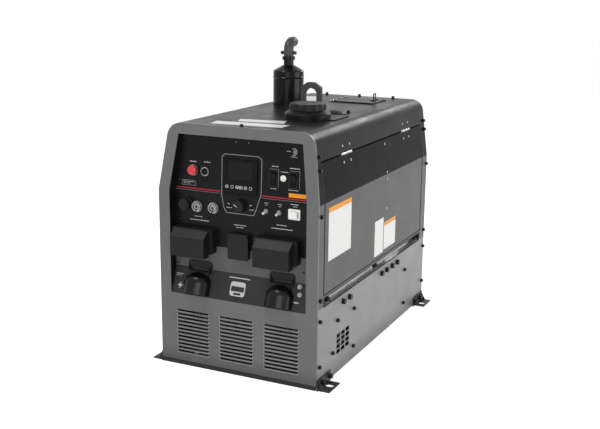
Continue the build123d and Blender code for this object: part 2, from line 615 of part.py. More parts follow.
# rocker switches: drum shaped rocker on two trunnions in its housing
ROCKER_R = 19.5
ROCKER_W = 19.0
ROCKER_DEEP = 3.0
ROCKER_ANGLE = 9.0
TRUNNION_R = 1.5
rockers = []
for x, z in ROCKER_AT:
    pl = upper_at(x, z)
    half = ROCKER_W / 2 + CLEAR
    shell = local_box(pl, -half - 2, half + 2, -22, 22, -19, 0.1) + local_box(pl, -15, 15, -26, 26, 0, 3.0)
    shell -= local_box(pl, -half, half, -20.2, 20.2, -17, 5)
    pivot = pl.location * (Pos(0, 0, -ROCKER_DEEP) * Rot(0, 90, 0))
    shell -= pivot * Cylinder(TRUNNION_R + RUN_FIT, 2 * half + 3)
    housings.append(shell)
    panel_cuts.append(local_box(pl, -half - 2 - CLEAR, half + 2 + CLEAR, -22 - CLEAR, 22 + CLEAR, -10, 5))
    drum = Pos(0, 0, -ROCKER_DEEP) * Rot(0, 90, 0) * Cylinder(ROCKER_R, ROCKER_W)
    top = Polyline((0, -20, -10), (0, 20, -10), (0, 20, 8.5), (0, 0, 5.0), (0, -20, 8.5), close=True)
    drum &= extrude(make_face(top), amount=20, dir=(1, 0, 0), both=True)
    drum += Pos(0, 0, -ROCKER_DEEP) * Rot(0, 90, 0) * Cylinder(TRUNNION_R, ROCKER_W + 2 * CLEAR + 2)
    tilt = Pos(0, 0, -ROCKER_DEEP) * Rot(ROCKER_ANGLE, 0, 0) * Pos(0, 0, ROCKER_DEEP)
    rockers.append(pl.location * (tilt * drum))
save("rocker_left", rockers[0])
save("rocker_right", rockers[1])

# bat toggles: lever with a ball in its threaded bushing
TOGGLE_ANGLE = 10.0
TOGGLE_BALL = 3.2
TOGGLE_PIVOT = 2.5
TOGGLE_PIN = 1.0
TOGGLE_TIP = 4.3
toggles = []
for x, z in TOGGLE_AT:
    pl = flat_at(x, z)
    bush = local_cyl(pl, 5.5, -12, 6.5)
    nut = pl.location * extrude(RegularPolygon(8.0, 6), amount=2.0)
    bush += nut
    bush -= local_cyl(pl, TOGGLE_BALL + RUN_FIT, -6, 9)
    cross = pl.location * (Pos(0, 0, TOGGLE_PIVOT) * Rot(0, 90, 0))
    bush -= cross * Cylinder(TOGGLE_PIN + RUN_FIT, 9.6)
    bezels.append(bush)
    panel_cuts.append(local_cyl(pl, 5.5 + CLEAR, -10, 5))
    bat = Pos(0, 0, 0) * Sphere(TOGGLE_BALL)
    bat += Pos(0, 0, 10.0) * Cone(1.7, TOGGLE_TIP, 16.0)
    bat += Pos(0, 0, 18.0) * Sphere(TOGGLE_TIP)
    bat += Rot(0, 90, 0) * Cylinder(TOGGLE_PIN, 9.0)
    lever = pl.location * (Pos(0, 0, TOGGLE_PIVOT) * Rot(TOGGLE_ANGLE, 0, 0) * bat)
    toggles.append(lever)
save("toggle_left", toggles[0])
save("toggle_right", toggles[1])

# control knob on its shaft
KNOB_SHAFT = 3.0
pl = flat_at(*KNOB_AT)
bush = local_cyl(pl, 5.5, -12, 7.0) - local_cyl(pl, KNOB_SHAFT + RUN_FIT, -13, 8)
bezels.append(bush)
panel_cuts.append(local_cyl(pl, 5.5 + CLEAR, -10, 5))
knob = Cone(KNOB_R, KNOB_R - 2.5, 18.0)
knob = Pos(0, 0, 1.5 + 9.0) * knob
grip = [Pos(KNOB_R - 0.3, 0, 11) * Cylinder(2.2, 24)]
flutes = [Rot(0, 0, i * 30.0) * (Pos(KNOB_R + 0.6, 0, 11) * Cylinder(2.4, 24)) for i in range(12)]
knob -= flutes
knob -= Pos(0, 0, 1.5 + 3.0) * Cylinder(8.0, 6.2)
knob += Pos(0, 0, -2.0) * Cylinder(KNOB_SHAFT, 20)
save("encoder_knob", pl.location * knob)
save("panel_bezels", bezels)

# signal connectors and the dust cap on the first
conns = []
CONN_R = 17.5
for i, (x, z) in enumerate(CONN_AT):
    pl = flat_at(x, z)
    body = local_cyl(pl, CONN_R, 0, 5.0) + local_cyl(pl, CONN_R - 2.5, -16, 12.0)
    body -= local_cyl(pl, CONN_R - 6.0, 3.0, 13)
    core = local_cyl(pl, CONN_R - 8.5, 2.9, 10.0)
    body += core - local_box(pl, -2.0, 2.0, -12, 0, 5, 11)
    conns.append(body)
    panel_cuts.append(local_cyl(pl, CONN_R - 2.5 + CLEAR, -10, 5))
save("connectors", conns)
pl = flat_at(*CONN_AT[0])
cap = local_cyl(pl, CONN_R + 1.0, 5.6, 21.0)
cap -= [pl.location * (Rot(0, 0, i * 24.0) * (Pos(CONN_R + 2.2, 0, 14) * Cylinder(2.2, 20))) for i in range(15)]
cap -= local_cyl(pl, CONN_R - 2.5 + RUN_FIT, 5, 13.0)
save("connector_cap", cap)

# soft clear boot over the breaker
pl = flat_at(*BOOT_AT)
boot = pl.location * extrude(RectangleRounded(39, 32, 4), amount=4.0)
bump = pl.location * (Pos(0, 0, 3.9) * extrude(RectangleRounded(31, 24, 6), amount=9.0, taper=14))
boot += bump
boot += local_cyl(pl, 8.0, -18, 0.1)
panel_cuts.append(local_cyl(pl, 8.0 + CLEAR, -10, 5))
save("breaker_boot", boot)

# -------------------------------------------------------- outlets under lids
# each housing stands on the panel, its lid hangs on a pin above the outlets
BOX_D = 26.0
BOX_Z0 = 378.0
BOX_Z1 = 455.0
BOX_W = 147.0
BOX_X = (-160.5, 128.5)
LID_W = 121.0
LID_FRONT_Y = -520.0
LID_Z0 = 369.0
LID_Z1 = 430.0
LID_T = 2.5
LID_PIN_R = 1.2
LID_BARREL_R = 2.6
ARM_W = 4.0
box_front = PANEL_Y - BOX_D
pivot_y = box_front - LID_BARREL_R - 0.6
pivot_z = BOX_Z1 - 3.0
lids = []
for xc in BOX_X:
    base = box(xc - BOX_W / 2, xc + BOX_W / 2, box_front, PANEL_Y, BOX_Z0, BOX_Z1)
    base = fillet(base.edges().filter_by(Axis.Y), 8.0)
    base -= box(xc - 52, xc + 52, box_front - 1, PANEL_Y - 5.0, BOX_Z0 + 6, BOX_Z1 - 12)
    for dx in (-26.0, 26.0):
        face = Plane(origin=(xc + dx, PANEL_Y - 5.0, (BOX_Z0 + BOX_Z1) / 2 - 3), x_dir=(1, 0, 0), z_dir=(0, -1, 0))
        outlet = local_cyl(face, 20.0, -0.1, 12.0)
        outlet -= [local_box(face, -8, -5.5, -1, 8, 4, 13), local_box(face, 5.5, 8, -1, 8, 4, 13)]
        outlet -= local_cyl(face, 2.6, 4, 13, 0, -9)
        base += outlet
    arm_x = LID_W / 2 - LID_T - 0.6
    for s in (-1, 1):
        a0, a1 = sorted((xc + s * arm_x, xc + s * (arm_x - ARM_W)))
        base += box(a0, a1, pivot_y, box_front + 1, pivot_z - LID_BARREL_R, pivot_z + LID_BARREL_R)
        base += rod((a0, pivot_y, pivot_z), (a1, pivot_y, pivot_z), LID_BARREL_R)
    base += rod((xc - arm_x + 1, pivot_y, pivot_z), (xc + arm_x - 1, pivot_y, pivot_z), LID_PIN_R)
    housings.append(base)
    back = box_front - 0.4
    prof = [(back, LID_Z0), (LID_FRONT_Y, LID_Z0 + 1), (LID_FRONT_Y, LID_Z1 - 2.0), (LID_FRONT_Y + 1.8, LID_Z1 + 1.0)]
    prof += [(pivot_y, pivot_z + 1.6), (back, pivot_z - 1.0)]
    inner = [(back + 5, LID_Z0 + LID_T), (LID_FRONT_Y + LID_T, LID_Z0 + LID_T + 1), (LID_FRONT_Y + LID_T, LID_Z1 - 1.4)]
    inner += [(pivot_y, pivot_z - 1.4), (back + 5, pivot_z - 1.4)]
    lid = yz_prism(prof, xc - LID_W / 2, xc + LID_W / 2)
    lid = fillet(lid.edges().filter_by(Axis.Z).group_by(Axis.Y)[0], 2.5)
    lid -= yz_prism(inner, xc - LID_W / 2 + LID_T, xc + LID_W / 2 - LID_T)
    barrel_x = arm_x - ARM_W - 0.4
    for s in (-1, 1):
        n0, n1 = sorted((xc + s * (arm_x + 0.5), xc + s * barrel_x))
        lid -= box(n0, n1, pivot_y - 3.4, back + 2, pivot_z - 8.5, pivot_z + 6)
    lid += rod((xc - barrel_x, pivot_y, pivot_z), (xc + barrel_x, pivot_y, pivot_z), LID_BARREL_R)
    lid -= rod((xc - arm_x - 0.3, pivot_y, pivot_z), (xc + arm_x + 0.3, pivot_y, pivot_z), LID_PIN_R + RUN_FIT)
    lids.append(lid)
save("lid_left", lids[0])
save("lid_right", lids[1])

# flat middle lid
MID_X0 = -37.0
MID_X1 = 33.0
MID_D = 14.0
MID_Z0 = 376.0
MID_Z1 = 446.0
MID_LID_T = 5.5
MID_ARM_R = 2.5
mid_front = PANEL_Y - MID_D
mid_y = mid_front - 3.2
mid_z = MID_Z1 + 3.6
base = box(MID_X0 + 2, MID_X1 - 2, mid_front, PANEL_Y, MID_Z0, mid_z + MID_ARM_R)
base -= box(MID_X0 + 8, MID_X1 - 8, mid_front - 1, PANEL_Y - 4, MID_Z0 + 6, MID_Z1 - 8)
face = flat_at((MID_X0 + MID_X1) / 2, (MID_Z0 + MID_Z1) / 2)
outlet = local_cyl(face, 21.0, 3.9, 11.0)
outlet -= [local_box(face, -8, -5.5, -1, 8, 5, 12), local_box(face, 5.5, 8, -1, 8, 5, 12), local_cyl(face, 2.6, 5, 12, 0, -9)]
base += outlet
for s0 in (MID_X0 + 2, MID_X1 - 6):
    base += box(s0, s0 + 4, mid_y, mid_front + 1, mid_z - MID_ARM_R, mid_z + MID_ARM_R)
    base += rod((s0, mid_y, mid_z), (s0 + 4, mid_y, mid_z), MID_ARM_R)
base += rod((MID_X0 + 3, mid_y, mid_z), (MID_X1 - 3, mid_y, mid_z), LID_PIN_R)
housings.append(base)
mid_lid = box(MID_X0, MID_X1, mid_front - 0.4 - MID_LID_T, mid_front - 0.4, MID_Z0 - 4, MID_Z1 - 2.4)
mid_lid = fillet(mid_lid.edges().filter_by(Axis.Y), 4.0)
mid_lid += box(MID_X0 + 6.5, MID_X1 - 6.5, mid_front - 0.4 - MID_LID_T, mid_front - 0.6, MID_Z1 - 8, mid_z)
mid_lid += rod((MID_X0 + 6.5, mid_y, mid_z), (MID_X1 - 6.5, mid_y, mid_z), LID_BARREL_R - 0.2)
mid_lid -= rod((MID_X0, mid_y, mid_z), (MID_X1, mid_y, mid_z), LID_PIN_R + RUN_FIT)
save("lid_middle", mid_lid)

# --------------------------------------------------- output terminals, hoods
STUD_AT = ((-145.0, 272.0), (142.0, 272.0))
STUD_R = 6.0
HOOD_A = 45.0
HOOD_B = 40.0
HOOD_LOW = 31.0
HOOD_STRAIGHT = 4.0
HOOD_CROWN = 0.8
HOOD_T = 2.5
HINGE_TAB_Z = 347.0
TAB_PIN_Z = 314.0
TAB_OFF = 9.0
hood_pin_r = 1.6
hood_barrel_r = 3.6
studs = []
hoods = []
out_cuts = []


def arch(a, b, low, straight):
    col = Pos(0, straight, 0) * extrude(Plane.XZ * Ellipse(a, b), amount=low + straight, dir=(0, -1, 0))
    ball = scale(Sphere(a), by=(1, HOOD_CROWN, b / a))
    full = col + Pos(0, straight, 0) * ball
    return full & (Pos(0, 0, 50.2) * Box(300, 300, 100))


for x, z in STUD_AT:
    pl = foot_at(x, z)
    # terminal: insulator behind and in front of the sheet, stud and two nuts
    housings.append(local_cyl(pl, 16.0, 0, 5.0) - local_cyl(pl, STUD_R + 0.2, -1, 6))
    stud = local_cyl(pl, STUD_R, -16, 28.0)
    stud += pl.location * (Pos(0, 0, 5.0) * extrude(RegularPolygon(11.0, 6), amount=6.0))
    stud += pl.location * (Pos(0, 0, 15.0) * extrude(RegularPolygon(11.0, 6), amount=7.0))
    stud += local_cyl(pl, 14.0, 11.0, 13.0)
    studs.append(stud)
    out_cuts.append(local_cyl(pl, STUD_R + CLEAR, -10, 6))
    # hood: arched shell, open below for the cable
    outer = arch(HOOD_A, HOOD_B, HOOD_LOW, HOOD_STRAIGHT)
    inner = arch(HOOD_A - HOOD_T, HOOD_B - HOOD_T, HOOD_LOW + 5, HOOD_STRAIGHT)
    cut_in = Pos(0, 0, -1.0) * inner
    hood = outer - inner - cut_in
    hood = pl.location * hood
    py = PANEL_Y - TAB_OFF
    pz = TAB_PIN_Z
    neck = [(py - 3.0, pz), (py - 8.0, pz - 22), (py - 4.6, pz - 22), (py + 1.2, pz)]
    web = yz_prism(neck, x - 33, x + 33) - pl.location * inner - pl.location * cut_in
    hood += web & box(x - 100, x + 100, PANEL_Y - 100, PANEL_Y, 200, pz)
    barrel = rod((x - 33, py, pz), (x + 33, py, pz), hood_barrel_r)
    bore = rod((x - 60, py, pz), (x + 60, py, pz), hood_pin_r + RUN_FIT)
    hood = hood + barrel - bore
    hoods.append(hood)
    # fixed hinge tab on the panel above, with ears round the pin
    tab = box(x - 43, x + 43, PANEL_Y - 4.0, PANEL_Y, OUT_FOLD_Z + 1.0, HINGE_TAB_Z)
    tab = fillet(tab.edges().filter_by(Axis.Y).group_by(Axis.Z)[-1], 12.0)
    for s in (-1, 1):
        e0, e1 = sorted((x + s * 33.5, x + s * 39.0))
        ear = yz_prism([(PANEL_Y, OUT_FOLD_Z + 1), (PANEL_Y, OUT_FOLD_Z + 14), (py - 4, pz + 4), (py - 4, pz - 4), (py + 4, pz - 4)], e0, e1)
        tab += ear
    tab += rod((x - 36, py, pz), (x + 36, py, pz), hood_pin_r)
    housings.append(tab)
for i, (x, z) in enumerate(((203.0, 311.0), (207.0, 289.0))):
    pl = foot_at(x, z)
    nut = local_cyl(pl, 3.0, -10, 9.0) + pl.location * extrude(RegularPolygon(8.0, 6), amount=5.0)
    studs.append(nut)
    out_cuts.append(local_cyl(pl, 3.0 + CLEAR, -8, 5))
save("output_studs", studs)
save("hood_left", hoods[0])
save("hood_right", hoods[1])
save("panel_housings", housings)
tray -= panel_cuts
save("control_panel", tray)

# grey output sheet below the split
inner_half = open_half - CLEAR
out_pts = [(PANEL_Y, PANEL_SPLIT_Z - CLEAR / 2), (PANEL_Y, OUT_FOLD_Z), (OUT_FOOT_Y, OPEN_Z0), (OUT_FOOT_Y, OPEN_Z0 - 18)]
out_pts += [(OUT_FOOT_Y + PANEL_T, OPEN_Z0 - 18), (OUT_FOOT_Y + PANEL_T, OPEN_Z0), (PANEL_Y + PANEL_T, OUT_FOLD_Z)]
out_pts += [(PANEL_Y + PANEL_T, PANEL_SPLIT_Z - CLEAR / 2)]
out_sheet = yz_prism(out_pts, -inner_half, inner_half)
out_sheet -= out_cuts
save("output_panel", out_sheet)

# ---------------------------------------------------------------- base frame
# floor pan, two skid rails and cross members under the engine
RAIL_T = 4.0
RAIL_Y = 440.0
MODULE_X = 190.0
rail_z0 = PAN_Z + PAN_T
base = [box(-W2 + SHEET + CLEAR, W2 - SHEET - CLEAR, -L2 + SHEET + CLEAR, L2 - SHEET - CLEAR, PAN_Z, rail_z0)]
for s in (-1, 1):
    x = s * RAIL_X
    rail = box(x - RAIL_W / 2, x + RAIL_W / 2, -RAIL_Y, RAIL_Y, rail_z0 - 0.1, RAIL_TOP_Z)
    rail -= box(x - RAIL_W / 2 + RAIL_T, x + RAIL_W / 2 - RAIL_T, -RAIL_Y - 1, RAIL_Y + 1, rail_z0, RAIL_TOP_Z - RAIL_T)
    base.append(rail)
for y in (-380.0, 40.0, 360.0):
    cross = box(-RAIL_X, RAIL_X, y - 20, y + 20, rail_z0 - 0.1, RAIL_TOP_Z - 10)
    base.append(cross - box(-RAIL_X - 1, RAIL_X + 1, y - 16, y + 16, rail_z0, RAIL_TOP_Z - 14))
# front sill, and air baffles beside the electronics
base.append(box(-W2 + SHEET + CLEAR, W2 - SHEET - CLEAR, -L2 + SHEET + CLEAR, -L2 + SHEET + CLEAR + 3.0, 0.8, PAN_Z + 0.1))
for s in (-1, 1):
    x0, x1 = sorted((s * (MODULE_X + 1.0), s * (W2 - 5.0)))
    base.append(box(x0, x1, -392.0, -390.0, rail_z0 - 0.1, 235.0))
floor_frame = base[0] + base[1:]
DRAIN_R = 12.0
floor_frame -= [Pos(x, y, PAN_Z) * Cylinder(DRAIN_R, 20) for x in (-200, 200) for y in (-400, 400)]
save("base_frame", floor_frame)


def y_cyl(r, y0, y1, x=0.0, z=SHAFT_Z):
    return Pos(x, (y0 + y1) / 2, z) * Rot(90, 0, 0) * Cylinder(r, y1 - y0)


# ------------------------------------------------------------------ generator
STATOR_MOUNT_Y = -200.0
FOOT_PAD = 25.0
BELL_L = 40.0
BEARING_R = 35.0
core = y_cyl(STATOR_R, STATOR_Y0 + CLEAR, STATOR_Y1)
for s in (-1, 1):
    x = s * RAIL_X
    pad = box(x - FOOT_PAD, x + FOOT_PAD, STATOR_MOUNT_Y - 30, STATOR_MOUNT_Y + 30, MOUNT_TOP_Z + CLEAR, SHAFT_Z - 70)
    core += pad
for a in (45, 135, 225, 315):
    c = math.cos(math.radians(a)) * (STATOR_R + 2)
    d = math.sin(math.radians(a)) * (STATOR_R + 2)
    core += y_cyl(9.0, STATOR_Y0 + CLEAR, STATOR_Y1, c, SHAFT_Z + d)
core -= y_cyl(STATOR_BORE_R, STATOR_Y0 - 1, STATOR_Y1 + 1)
save("generator_stator", core)

bell_y0 = STATOR_Y0 - BELL_L
bell = y_cyl(STATOR_R, bell_y0, STATOR_Y0)
bell = fillet(bell.edges().group_by(Axis.Y)[0], 14.0)
bell -= y_cyl(STATOR_BORE_R + 10, bell_y0 + 8, STATOR_Y0 + 1)
bell -= [Pos(0, 0, SHAFT_Z) * Rot(0, a, 0) * Pos(80, bell_y0 + 4, 0) * Box(46, 20, 12) for a in range(0, 360, 30)]
bell += y_cyl(BEARING_R + 9, bell_y0 + 2, bell_y0 + 30)
bell -= y_cyl(BEARING_R + SEAT_FIT, bell_y0 + 8, STATOR_Y0)
bell -= y_cyl(SHAFT_R + 4, bell_y0 - 1, STATOR_Y0)
save("generator_end_bell", bell)

# rotor: shaft, four poles with their coils, cooling fan; the shaft is the crank
ROTOR_R = STATOR_BORE_R - AIR_GAP
SHAFT_Y0 = bell_y0 + 6.0
SHAFT_Y1 = 400.0
FAN_Y = 64.0
rotor = y_cyl(SHAFT_R, SHAFT_Y0, SHAFT_Y1)
poles = y_cyl(ROTOR_R, -235.0, 45.0)
slots = [Pos(0, -95, SHAFT_Z) * Rot(0, 45 + 90 * i, 0) * Pos(72, 0, 0) * Box(64, 300, 34) for i in range(4)]
rotor += poles - slots
coils = [Pos(0, -95, SHAFT_Z) * Rot(0, 45 + 90 * i, 0) * Pos(53, 0, 0) * Box(30, 262, 30) for i in range(4)]
rotor += coils
rotor += y_cyl(ROTOR_R - 4, FAN_Y, FAN_Y + 4)
blades = [Pos(0, FAN_Y + 18, SHAFT_Z) * Rot(0, 30 * i, 0) * Pos(66, 0, 0) * Box(36, 30, 4) for i in range(12)]
rotor += blades
save("generator_rotor", rotor)

# --------------------------------------------------------------------- engine
CYL_Y = (205.0, 247.0)
CYL_R0 = 120.0
CYL_TOP = 250.0
FIN_R = 60.0
BARREL_R = 42.0
FIN_PITCH = 11.0
CRANK_X = 110.0
CRANK_Y0 = 122.0
CRANK_Y1 = 330.0
CRANK_BOTTOM = 150.0
BLOCK_MOUNT_Y = 300.0
v_top = SHAFT_Z + CYL_R0 * math.sqrt(2.0)
v_side = v_top - CRANK_X
sump = [(-CRANK_X, CRANK_BOTTOM + 30), (-CRANK_X + 30, CRANK_BOTTOM), (CRANK_X - 30, CRANK_BOTTOM)]
sump += [(CRANK_X, CRANK_BOTTOM + 30), (CRANK_X, v_side), (0, v_top), (-CRANK_X, v_side)]
block = xz_prism(sump, CRANK_Y0, CRANK_Y1)
adapter = Pos(0, (STATOR_Y1 + CLEAR + CRANK_Y0) / 2, SHAFT_Z) * Rot(90, 0, 0)
ada_len = CRANK_Y0 - STATOR_Y1 - CLEAR
block += adapter * Cone(108.0, STATOR_R, ada_len)
block -= adapter * Cone(96.0, STATOR_R - 8, ada_len + 0.01)
block -= [Pos(0, 92, SHAFT_Z) * Rot(0, a, 0) * Pos(118, 0, 0) * Box(60, 26, 34) for a in range(0, 360, 45)]
for s in (-1, 1):
    x = s * RAIL_X
    block += box(x - FOOT_PAD, x + FOOT_PAD, BLOCK_MOUNT_Y - 28, BLOCK_MOUNT_Y + 28, MOUNT_TOP_Z + CLEAR, CRANK_BOTTOM + 40)
INTAKE_Z = 519.7
block += box(-26, 26, 205, 265, v_top - 30, INTAKE_Z - 8)
block += box(-60, 60, 215, 255, INTAKE_Z - 40, INTAKE_Z)
block -= y_cyl(SHAFT_R + 5, CRANK_Y0 - 1, CRANK_Y1 + 1)
block -= y_cyl(BEARING_R + SEAT_FIT, CRANK_Y0 - 1, CRANK_Y0 + 18)
block -= y_cyl(BEARING_R + SEAT_FIT, CRANK_Y1 - 18, CRANK_Y1 + 1)

# finned V cylinders with heads and rocker covers
cylinders = []
for s, y in ((-1, CYL_Y[0]), (1, CYL_Y[1])):
    axis = Pos(0, y, SHAFT_Z) * Rot(0, s * 45, 0)
    length = CYL_TOP - CYL_R0 - CLEAR
    cyl = Pos(0, 0, CYL_R0 + CLEAR + length / 2) * Cylinder(BARREL_R, length)
    n = 8
    for i in range(n):
        z = CYL_R0 + 10 + i * FIN_PITCH
        fin = Pos(0, 0, z) * Box(2 * FIN_R - 8, 2 * FIN_R - 16, 3.0)
        fin = fillet(fin.edges().filter_by(Axis.Z), 22.0)
        cyl += fin
    head = Pos(0, 0, CYL_TOP - 21) * Box(2 * FIN_R - 14, 2 * FIN_R - 16, 30)
    cover = Pos(0, 0, CYL_TOP - 4) * Box(2 * FIN_R - 34, 2 * FIN_R - 34, 14)
    cyl += head + fillet(cover.edges().group_by(Axis.Z)[-1], 6.0)
    cylinders.append(axis * cyl)
save("engine_cylinders", cylinders)

# oil filter and starter hang on the block
FILTER_Z = 250.0
block += Pos(CRANK_X + 8, 190, FILTER_Z) * Rot(0, 90, 0) * Cylinder(26, 18)
can = Pos(CRANK_X + 17.3 + 40, 190, FILTER_Z) * Rot(0, 90, 0) * Cylinder(38, 80)
can = fillet(can.edges().group_by(Axis.X)[-1], 8.0)
save("oil_filter", can)
STARTER_X = -150.0
STARTER_Z = 230.0
block += box(-CRANK_X - 66, -CRANK_X + 5, 300, 312, STARTER_Z - 34, STARTER_Z + 34)
save("engine_block", block)
starter = y_cyl(38.0, 150.0, 299.7, STARTER_X, STARTER_Z)
starter += y_cyl(20.0, 130.0, 151.0, STARTER_X, STARTER_Z)
starter += y_cyl(16.0, 190.0, 290.0, STARTER_X + 6, STARTER_Z + 52)
starter += box(STARTER_X - 5, STARTER_X + 17, 200, 280, STARTER_Z + 30, STARTER_Z + 52)
save("starter_motor", starter)


def bearing(y0):
    body = y_cyl(BEARING_R, y0, y0 + 16) - y_cyl(SHAFT_R + RUN_FIT, y0 - 1, y0 + 17)
    return body


save("shaft_bearings", [bearing(bell_y0 + 9.0), bearing(CRANK_Y0 + 1.0), bearing(CRANK_Y1 - 17.0)])

# cooling fan on the crank end and the scroll housing round it
FAN_R = 120.0
HOUSE_R = 158.0
HOUSE_Y1 = 404.0
fan = y_cyl(FAN_R, 348.0, 354.0)
fan += y_cyl(36.0, 344.0, 398.0)
for i in range(16):
    blade = Pos(0, 369, SHAFT_Z) * Rot(0, i * 22.5, 0) * Pos(92, 0, 0) * Rot(0, 24, 0) * Box(50, 32, 4)
    fan += blade
fan -= y_cyl(SHAFT_R, 330.0, 402.0)
save("flywheel_fan", fan)
house = y_cyl(HOUSE_R, CRANK_Y1 + CLEAR, HOUSE_Y1)
house += xz_prism([(-150, 290), (150, 290), (196, 470), (120, 520), (0, 440), (-120, 520), (-196, 470)], CRANK_Y1 + CLEAR, 380)
house -= y_cyl(FAN_R + 10, CRANK_Y1 + 4, HOUSE_Y1 - 3)
house -= xz_prism([(-142, 300), (142, 300), (186, 468), (118, 508), (0, 430), (-118, 508), (-186, 468)], CRANK_Y1 + 4, 376)
house -= y_cyl(BEARING_R + 2, CRANK_Y1 - 1, CRANK_Y1 + 10)
grille = []
for i in range(-4, 5):
    grille.append(box(-96, 96, HOUSE_Y1 - 4, HOUSE_Y1 + 1, SHAFT_Z + i * 20 - 6, SHAFT_Z + i * 20 + 6))
inlet = [g & y_cyl(96.0, HOUSE_Y1 - 10, HOUSE_Y1 + 5) for g in grille]
house -= inlet
save("blower_housing", house)

# air cleaner under the roof hatch
AIR_Z0 = 520.0
AIR_Z1 = 600.0
cleaner = box(-105, 105, 182, 318, AIR_Z0, AIR_Z1 - 22)
cleaner = fillet(cleaner.edges().filter_by(Axis.Z), 26.0)
lid = box(-109, 109, 178, 322, AIR_Z1 - 22.1, AIR_Z1)
lid = fillet(lid.edges().filter_by(Axis.Z), 28.0)
lid = fillet(lid.edges().group_by(Axis.Z)[-1], 7.0)
cleaner += lid
cleaner += Pos(0, 250, AIR_Z1 + 5) * Cylinder(14, 12)
cleaner += Pos(0, 250, AIR_Z1 + 9) * Box(52, 9, 8)
save("air_cleaner", cleaner)

# rubber mounts between rails and running gear
mounts = []
for s in (-1, 1):
    for y in (STATOR_MOUNT_Y, BLOCK_MOUNT_Y):
        m = Pos(s * RAIL_X, y, (RAIL_TOP_Z + MOUNT_TOP_Z) / 2) * Cylinder(24.0, MOUNT_TOP_Z - RAIL_TOP_Z)
        m -= Pos(s * RAIL_X, y, (RAIL_TOP_Z + MOUNT_TOP_Z) / 2) * Torus(30.0, 11.0)
        mounts.append(m)
save("isolation_mounts", mounts)

# ------------------------------------------------- battery, electronics, tank
battery = box(134, 258, -300, -106, rail_z0 + CLEAR, 180)
battery = fillet(battery.edges().filter_by(Axis.Z), 5.0)
battery += box(138, 254, -296, -110, 179.9, 190)
for y in (-280.0, -126.0):
    battery += Pos(158, y, 195) * Cylinder(8.0, 18)
save("battery", battery)

power = box(-MODULE_X, MODULE_X, -430, -310, RAIL_TOP_Z + CLEAR, 585)
power -= box(-182, 182, -440, -418, 100, 560)
fins = [box(-176 + i * 32, -170 + i * 32, -430, -417, 110, 550) for i in range(12)]
power += fins
power += box(-MODULE_X, MODULE_X, -430, -400, 584.9, 599.7)
save("power_module", power)

TANK_X = 190.0
TANK_Y0 = -400.0
TANK_Y1 = 14.0
TANK_Z0 = 600.0
TANK_Z1 = 752.0
TANK_T = 3.0
NECK_R = 36.0
tank = box(-TANK_X, TANK_X, TANK_Y0, TANK_Y1, TANK_Z0, TANK_Z1)
tank = fillet(tank.edges().filter_by(Axis.Z), 30.0)
tank = fillet(tank.edges().group_by(Axis.Z)[-1], 22.0)
inner = box(-TANK_X + TANK_T, TANK_X - TANK_T, TANK_Y0 + TANK_T, TANK_Y1 - TANK_T, TANK_Z0 + TANK_T, TANK_Z1 - TANK_T)
inner = fillet(inner.edges().filter_by(Axis.Z), 27.0)
inner = fillet(inner.edges().group_by(Axis.Z)[-1], 19.0)
tank -= inner
tank -= Pos(FILLER_X, FILLER_Y, TANK_Z1) * Cylinder(NECK_R - 3, 20)
save("fuel_tank", tank)

# ------------------------------------------------------------------ lift eye
BAIL_TOP = 869.0
BAIL_SHOULDER = 853.0
ARCH_R = 22.0
ARCH_TOP = 849.0
POST_X = 205.0
half = BAIL_W / 2 - 1.0
bail_pts = [(-half, 590), (half, 590), (half, BAIL_SHOULDER), (13, BAIL_TOP), (-13, BAIL_TOP), (-half, BAIL_SHOULDER)]
plate = xz_prism(bail_pts, BAIL_Y - BAIL_T / 2, BAIL_Y + BAIL_T / 2)
plate = fillet(plate.edges().filter_by(Axis.Y).group_by(Axis.Z)[-1], 8.0)
arch_hole = box(-ARCH_R, ARCH_R, 0, 90, CASE_H + 3, ARCH_TOP - ARCH_R)
arch_hole += y_cyl(ARCH_R, 0, 90, 0, ARCH_TOP - ARCH_R)
plate -= arch_hole
bail = [plate]
bail.append(box(-POST_X, POST_X, -10, 60, 560, 599.7) - box(-POST_X + 5, POST_X - 5, -5, 55, 559, 594))
for s in (-1, 1):
    x = s * POST_X
    bail.append(box(x - 5, x + 5, 0, 56, rail_z0 + CLEAR, 570))
lift = bail[0] + bail[1:]
save("lift_bail", lift)


# -------------------------------------------------------------- roof fittings
def revolve_z(points, x, y):
    face = make_face(Polyline([(r, 0, z) for r, z in points], close=True))
    return Pos(x, y, 0) * revolve(face, axis=Axis.Z)


# collar of the filler, its drip plate and the low dome of the fuel gauge
COLLAR_R = 74.0
PLATE_X1 = 190.0
PLATE_Y1 = -83.0
GAUGE_AT = (120.0, -44.0)
GAUGE_R = 42.0
GAUGE_H = 13.0
flange = revolve_z([(NECK_R - 3, TANK_Z1 + CLEAR), (NECK_R, TANK_Z1 + CLEAR), (NECK_R, CASE_H + CLEAR), (COLLAR_R, CASE_H + CLEAR),
                    (COLLAR_R, CASE_H + 16), (COLLAR_R - 3, CASE_H + 20), (58, CASE_H + 28), (NECK_R - 3, CASE_H + 28)], FILLER_X, FILLER_Y)
tray_plate = box(60, PLATE_X1, -207, PLATE_Y1, CASE_H + CLEAR, CASE_H + CLEAR + 3.0)
tray_plate = fillet(tray_plate.edges().filter_by(Axis.Z), 4.0)
tray_plate -= Pos(FILLER_X, FILLER_Y, CASE_H) * Cylinder(NECK_R + 6, 20)
gauge_curve = (GAUGE_R ** 2 + GAUGE_H ** 2) / (2 * GAUGE_H)
gauge_low = CASE_H + CLEAR
gauge = Pos(GAUGE_AT[0], GAUGE_AT[1], gauge_low + GAUGE_H - gauge_curve) * Sphere(gauge_curve)
gauge &= box(0, 300, -200, 100, gauge_low, gauge_low + 50)
gauge += Pos(GAUGE_AT[0], GAUGE_AT[1], gauge_low + 1.0) * Cylinder(GAUGE_R, 2.0)
save("filler_flange", flange + tray_plate + gauge)
INS_Z = CASE_H + 28.3
